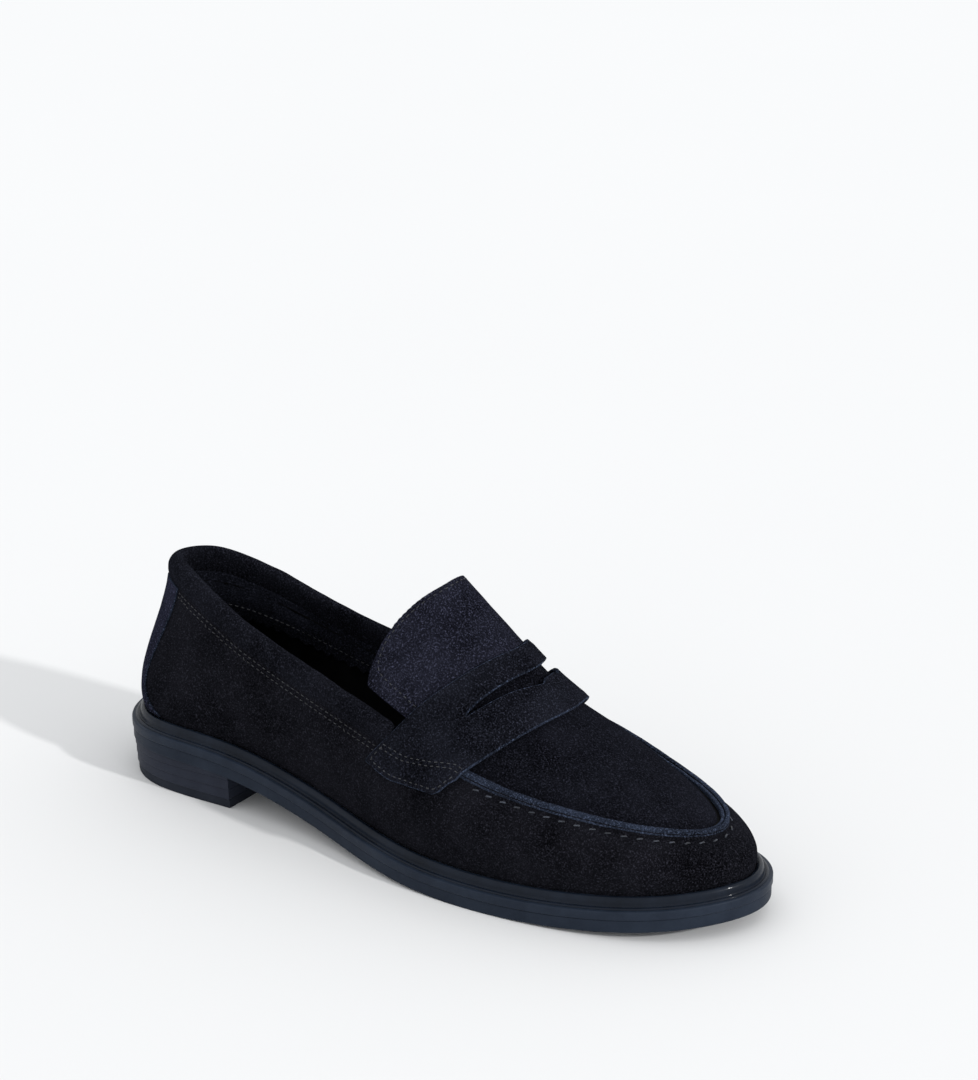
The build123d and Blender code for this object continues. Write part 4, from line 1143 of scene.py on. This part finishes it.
def strap_columns():
    """Shares along the strap: even, and closer at the tab, the slot's tips and the ends."""
    tips = SLOT_HALF * (1 - np.linspace(0, 0.3, 16) ** 2)
    tab = TAB_HALF * np.linspace(0.75, 1.2, 14)
    corner = np.linspace(0, 0.012, 10)
    return np.unique(np.round(np.concatenate([
        np.linspace(0, 1, 420), SLOT_CENTRE - tab, SLOT_CENTRE + tab, SLOT_CENTRE - tips,
        SLOT_CENTRE + tips, corner, 1 - corner]), 6))


def build_strap():
    """Strap with its slot and tab, and the stitch rows that hold its flaps."""
    base = fine(strap_base(), 181, 901)
    up = normals(base)
    if up[90, 450, 2] < 0:
        up = -up
    along = strap_columns()
    upper, lower, inside = slot_edges(along)
    first, last = (end[:, None] for end in strap_ends(along))
    rows = 20
    share = np.linspace(0, 1, rows)[None]
    rear = first * (1 - share) + upper[:, None] * share
    front = lower[:, None] * (1 - share) + last * share
    column = along[:, None] + 0 * share
    surface = []
    for across in (rear, front):
        point = on_grid(base, across, column)
        edge = np.minimum(across - first, last - across)
        cushion = STRAP_CUSHION * ramp(edge, 0.0, 0.10) + SUEDE_WAVE * unevenness(point)
        lift = STRAP_LIFT - 0.2 + cushion
        surface.append(point + on_grid(up, across, column) * lift[..., None])
    count = len(along) * rows
    quads = grid_faces(len(along), rows)
    joined = np.arange(2 * count)
    beyond = np.flatnonzero(~inside) * rows
    joined[count + beyond] = beyond + rows - 1
    used, faces = np.unique(joined[np.concatenate([quads, quads + count])], return_inverse=True)
    faces = faces.reshape(-1, 4)
    points = np.array(surface).reshape(-1, 3)[used]
    if vertex_normals(points, faces)[:, 2].mean() < 0:
        faces = faces[:, ::-1]
    # Its cut edges take the raw-edge material: raw suede colour plus a painted highlight.
    strap = make_sheet("saddle_strap_suede", points, STRAP_THICKNESS, EDGE_BULGE,
                       [SUEDE_STRAP, RAW_EDGE_AND_HIGHLIGHT], faces)
    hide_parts("saddle_strap")
    lines = []
    share = np.linspace(0.05, 0.95, 900)
    length = np.interp(share, np.linspace(0, 1, len(base)), distance_along(base)[:, -1])
    for above in CROSSING_LINES:
        lines.append((share, (flap_reach(share) + above) / length))
    steps = np.hypot(np.diff(SEAM_SHARES) * 34, np.diff(SEAM_ENDS) * 130)
    run = np.concatenate([[0], np.cumsum(steps)])
    even = np.linspace(0, run[-1], 900)
    lines.append([smooth_line(np.interp(even, run, part), 61) for part in (SEAM_SHARES, SEAM_ENDS)])
    lines = [[on_grid(part, across, side) for part in (base, up)]
             for across, way in lines for side in (way, 1 - way)]
    sewn = machine_stitches("strap_stitches", lines, STRAP_LIFT + STITCH_LIFT)
    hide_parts("strap_thread")


# -------- tongue
TONGUE_MESH = (130, 150)  # rows and columns
TONGUE_THICKNESS = 1.8
TONGUE_TUCK = 0.03
TONGUE_MARGIN = 0.032
TONGUE_REACH = (0.06, 0.11)
CORNER_ROWS = 0.25
CORNER_WIDTH = 0.14
REAR_BOW = 1.6
TIP_REACH = 0.05
TIP_WIDTH = 0.2
TONGUE_DIMPLE = (0.18, 0.8)
TONGUE_SINK = 0.08
SEAM_INSET = 5  # rows and columns from its edge to its line of stitches
BACKING_TRIM = 0.012
BACKING_DEPTH = 1.85
BACKING_MESH = (60, 60)


def tongue_surface(rows, columns, trim=0.0):
    """Top of the tongue, from its free rear edge to where it goes under the strap."""
    share = np.linspace(0, 1, rows)[:, None]
    corner = 1 - np.clip(share / CORNER_ROWS, 0, 1)
    side = TONGUE_MARGIN + trim + CORNER_WIDTH * (1 - np.sqrt(1 - corner ** 2 * 0.98))
    w = side + (1 - 2 * side) * np.linspace(0, 1, columns)
    off_crest = np.abs(2 * w - 1)
    rear = trim - TONGUE_REACH[0] - TONGUE_REACH[1] * off_crest ** REAR_BOW
    rear = rear - TIP_REACH * np.exp(-(off_crest / TIP_WIDTH) ** 2)
    front = strap_station(0, w) - TONGUE_TUCK - trim / 2
    return instep(rear + (front - rear) * share, w)


def tongue_seam(grid, out):
    """Rounded line beside the tongue's free edges, with its normals."""
    rows, columns = grid.shape[:2]
    climb = np.arange(rows - 3, SEAM_INSET - 1, -1)
    left, right = SEAM_INSET, columns - SEAM_INSET - 1
    line, normal = (np.concatenate([part[climb, left], part[SEAM_INSET, left:right],
                                    part[climb[::-1], right]]) for part in (grid, out))
    run = distance_along(line)
    even = np.linspace(0, run[-1], 1600)
    line, normal = (np.stack([smooth_line(np.interp(even, run, part[:, i]), 81)
                              for i in range(3)], 1) for part in (line, normal))
    return line, normal / np.linalg.norm(normal, axis=1, keepdims=True)


def build_tongue():
    grid = tongue_surface(*TONGUE_MESH)
    out = normals(grid)
    line, normal = tongue_seam(grid, out)
    lift = 0.12 * unevenness(grid * 0.8) - dimples(
        grid, line[spaced(line, MACHINE_STITCH[0])], *TONGUE_DIMPLE)
    tongue = make_sheet("suede_tongue_top", grid + out * lift[..., None], TONGUE_THICKNESS,
                        EDGE_BULGE, [SUEDE_TONGUE, SUEDE_TRIM], body="tongue")
    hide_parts("tongue")
    under = tongue_surface(*BACKING_MESH, trim=BACKING_TRIM)
    backing = make_sheet("tongue_backing", under - normals(under) * BACKING_DEPTH, 1.0, 0.5,
                         [LINING], body="tongue")
    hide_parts("tongue_lining")
    sewn = machine_stitches("tongue_stitches", [(line, normal)], -TONGUE_SINK, body="tongue")
    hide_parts("tongue_thread")


build_sole()
build_heel()
build_storm_welt()
build_footbed()
build_wall()
build_backstay()
build_collar()
build_facing()
build_apron()
build_strap()
build_tongue()


# -------- floor, lights, camera
FLOOR_SIDE = 8.0
FLOOR_GRID = 9
CAMERA_AZIMUTH = math.radians(35)
CAMERA_ELEVATION = math.radians(22)
CAMERA_SHIFT = np.array([-139.5346, -83.5827, -1450.0])  # the drawing's origin from the camera
FOCAL_PIXELS = 3473.19
IMAGE_HEIGHT = 1080
SENSOR = 36.0
KEY_SWING = math.radians(52.5)  # from the camera's side toward its right
KEY_ELEVATION = math.radians(28)
KEY_STRENGTH = 1.6
KEY_SPREAD = math.radians(3.0)
FILL_COLOUR = (0.97, 0.985, 1.0, 1)
FILL_STRENGTH = 0.98


def build_floor():
    mesh = bpy.data.meshes.new("studio_floor")
    steps = np.linspace(-FLOOR_SIDE, FLOOR_SIDE, FLOOR_GRID)
    faces = grid_faces(FLOOR_GRID, FLOOR_GRID)
    mesh.from_pydata([(x, y, 0) for x in steps for y in steps], [], faces.tolist())
    floor = add_object("studio_floor", mesh)
    material = new_material("pale_floor", (0.80, 0.80, 0.80), 0.9, 0.0)
    tone = grain(material, 0.2, 0.8, 3, 2, 0.5)
    blend_colour(material, tone, (0.795, 0.795, 0.795), (0.805, 0.805, 0.805))
    mesh.materials.append(material)


def view_axes(azimuth, elevation):
    """Rows that point to the camera's right, up and back."""
    sa, ca = math.sin(azimuth), math.cos(azimuth)
    se, ce = math.sin(elevation), math.cos(elevation)
    return np.array([[ca, sa, 0], [-sa * se, ca * se, ce], [sa * ce, -ca * ce, se]])


def build_camera(axes):
    data = bpy.data.cameras.new("camera")
    data.lens = FOCAL_PIXELS * SENSOR / IMAGE_HEIGHT
    data.sensor_fit = "AUTO"
    data.sensor_width = SENSOR
    camera = add_object("camera", data)
    matrix = Matrix([list(row) for row in axes.T]).to_4x4()
    matrix.translation = Vector(place(-axes.T @ CAMERA_SHIFT))
    camera.matrix_world = matrix
    bpy.context.scene.camera = camera


def build_lights(axes):
    world = bpy.data.worlds.new("studio")
    world.use_nodes = True
    background = world.node_tree.nodes["Background"]
    background.inputs["Color"].default_value = FILL_COLOUR
    background.inputs["Strength"].default_value = FILL_STRENGTH
    bpy.context.scene.world = world
    right = Vector(axes[0])
    near = Vector((axes[2][0], axes[2][1], 0)).normalized()
    level_way = right * math.sin(KEY_SWING) + near * math.cos(KEY_SWING)
    toward = level_way * math.cos(KEY_ELEVATION) + Vector((0, 0, math.sin(KEY_ELEVATION)))
    data = bpy.data.lights.new("key", "SUN")
    data.angle = KEY_SPREAD
    data.energy = KEY_STRENGTH
    lamp = add_object("key", data)
    lamp.location = toward * 2
    lamp.rotation_euler = toward.to_track_quat("Z", "Y").to_euler()


build_floor()
VIEW_AXES = view_axes(CAMERA_AZIMUTH, CAMERA_ELEVATION)
build_camera(VIEW_AXES)
build_lights(VIEW_AXES)
bpy.context.scene.view_settings.view_transform = "Standard"
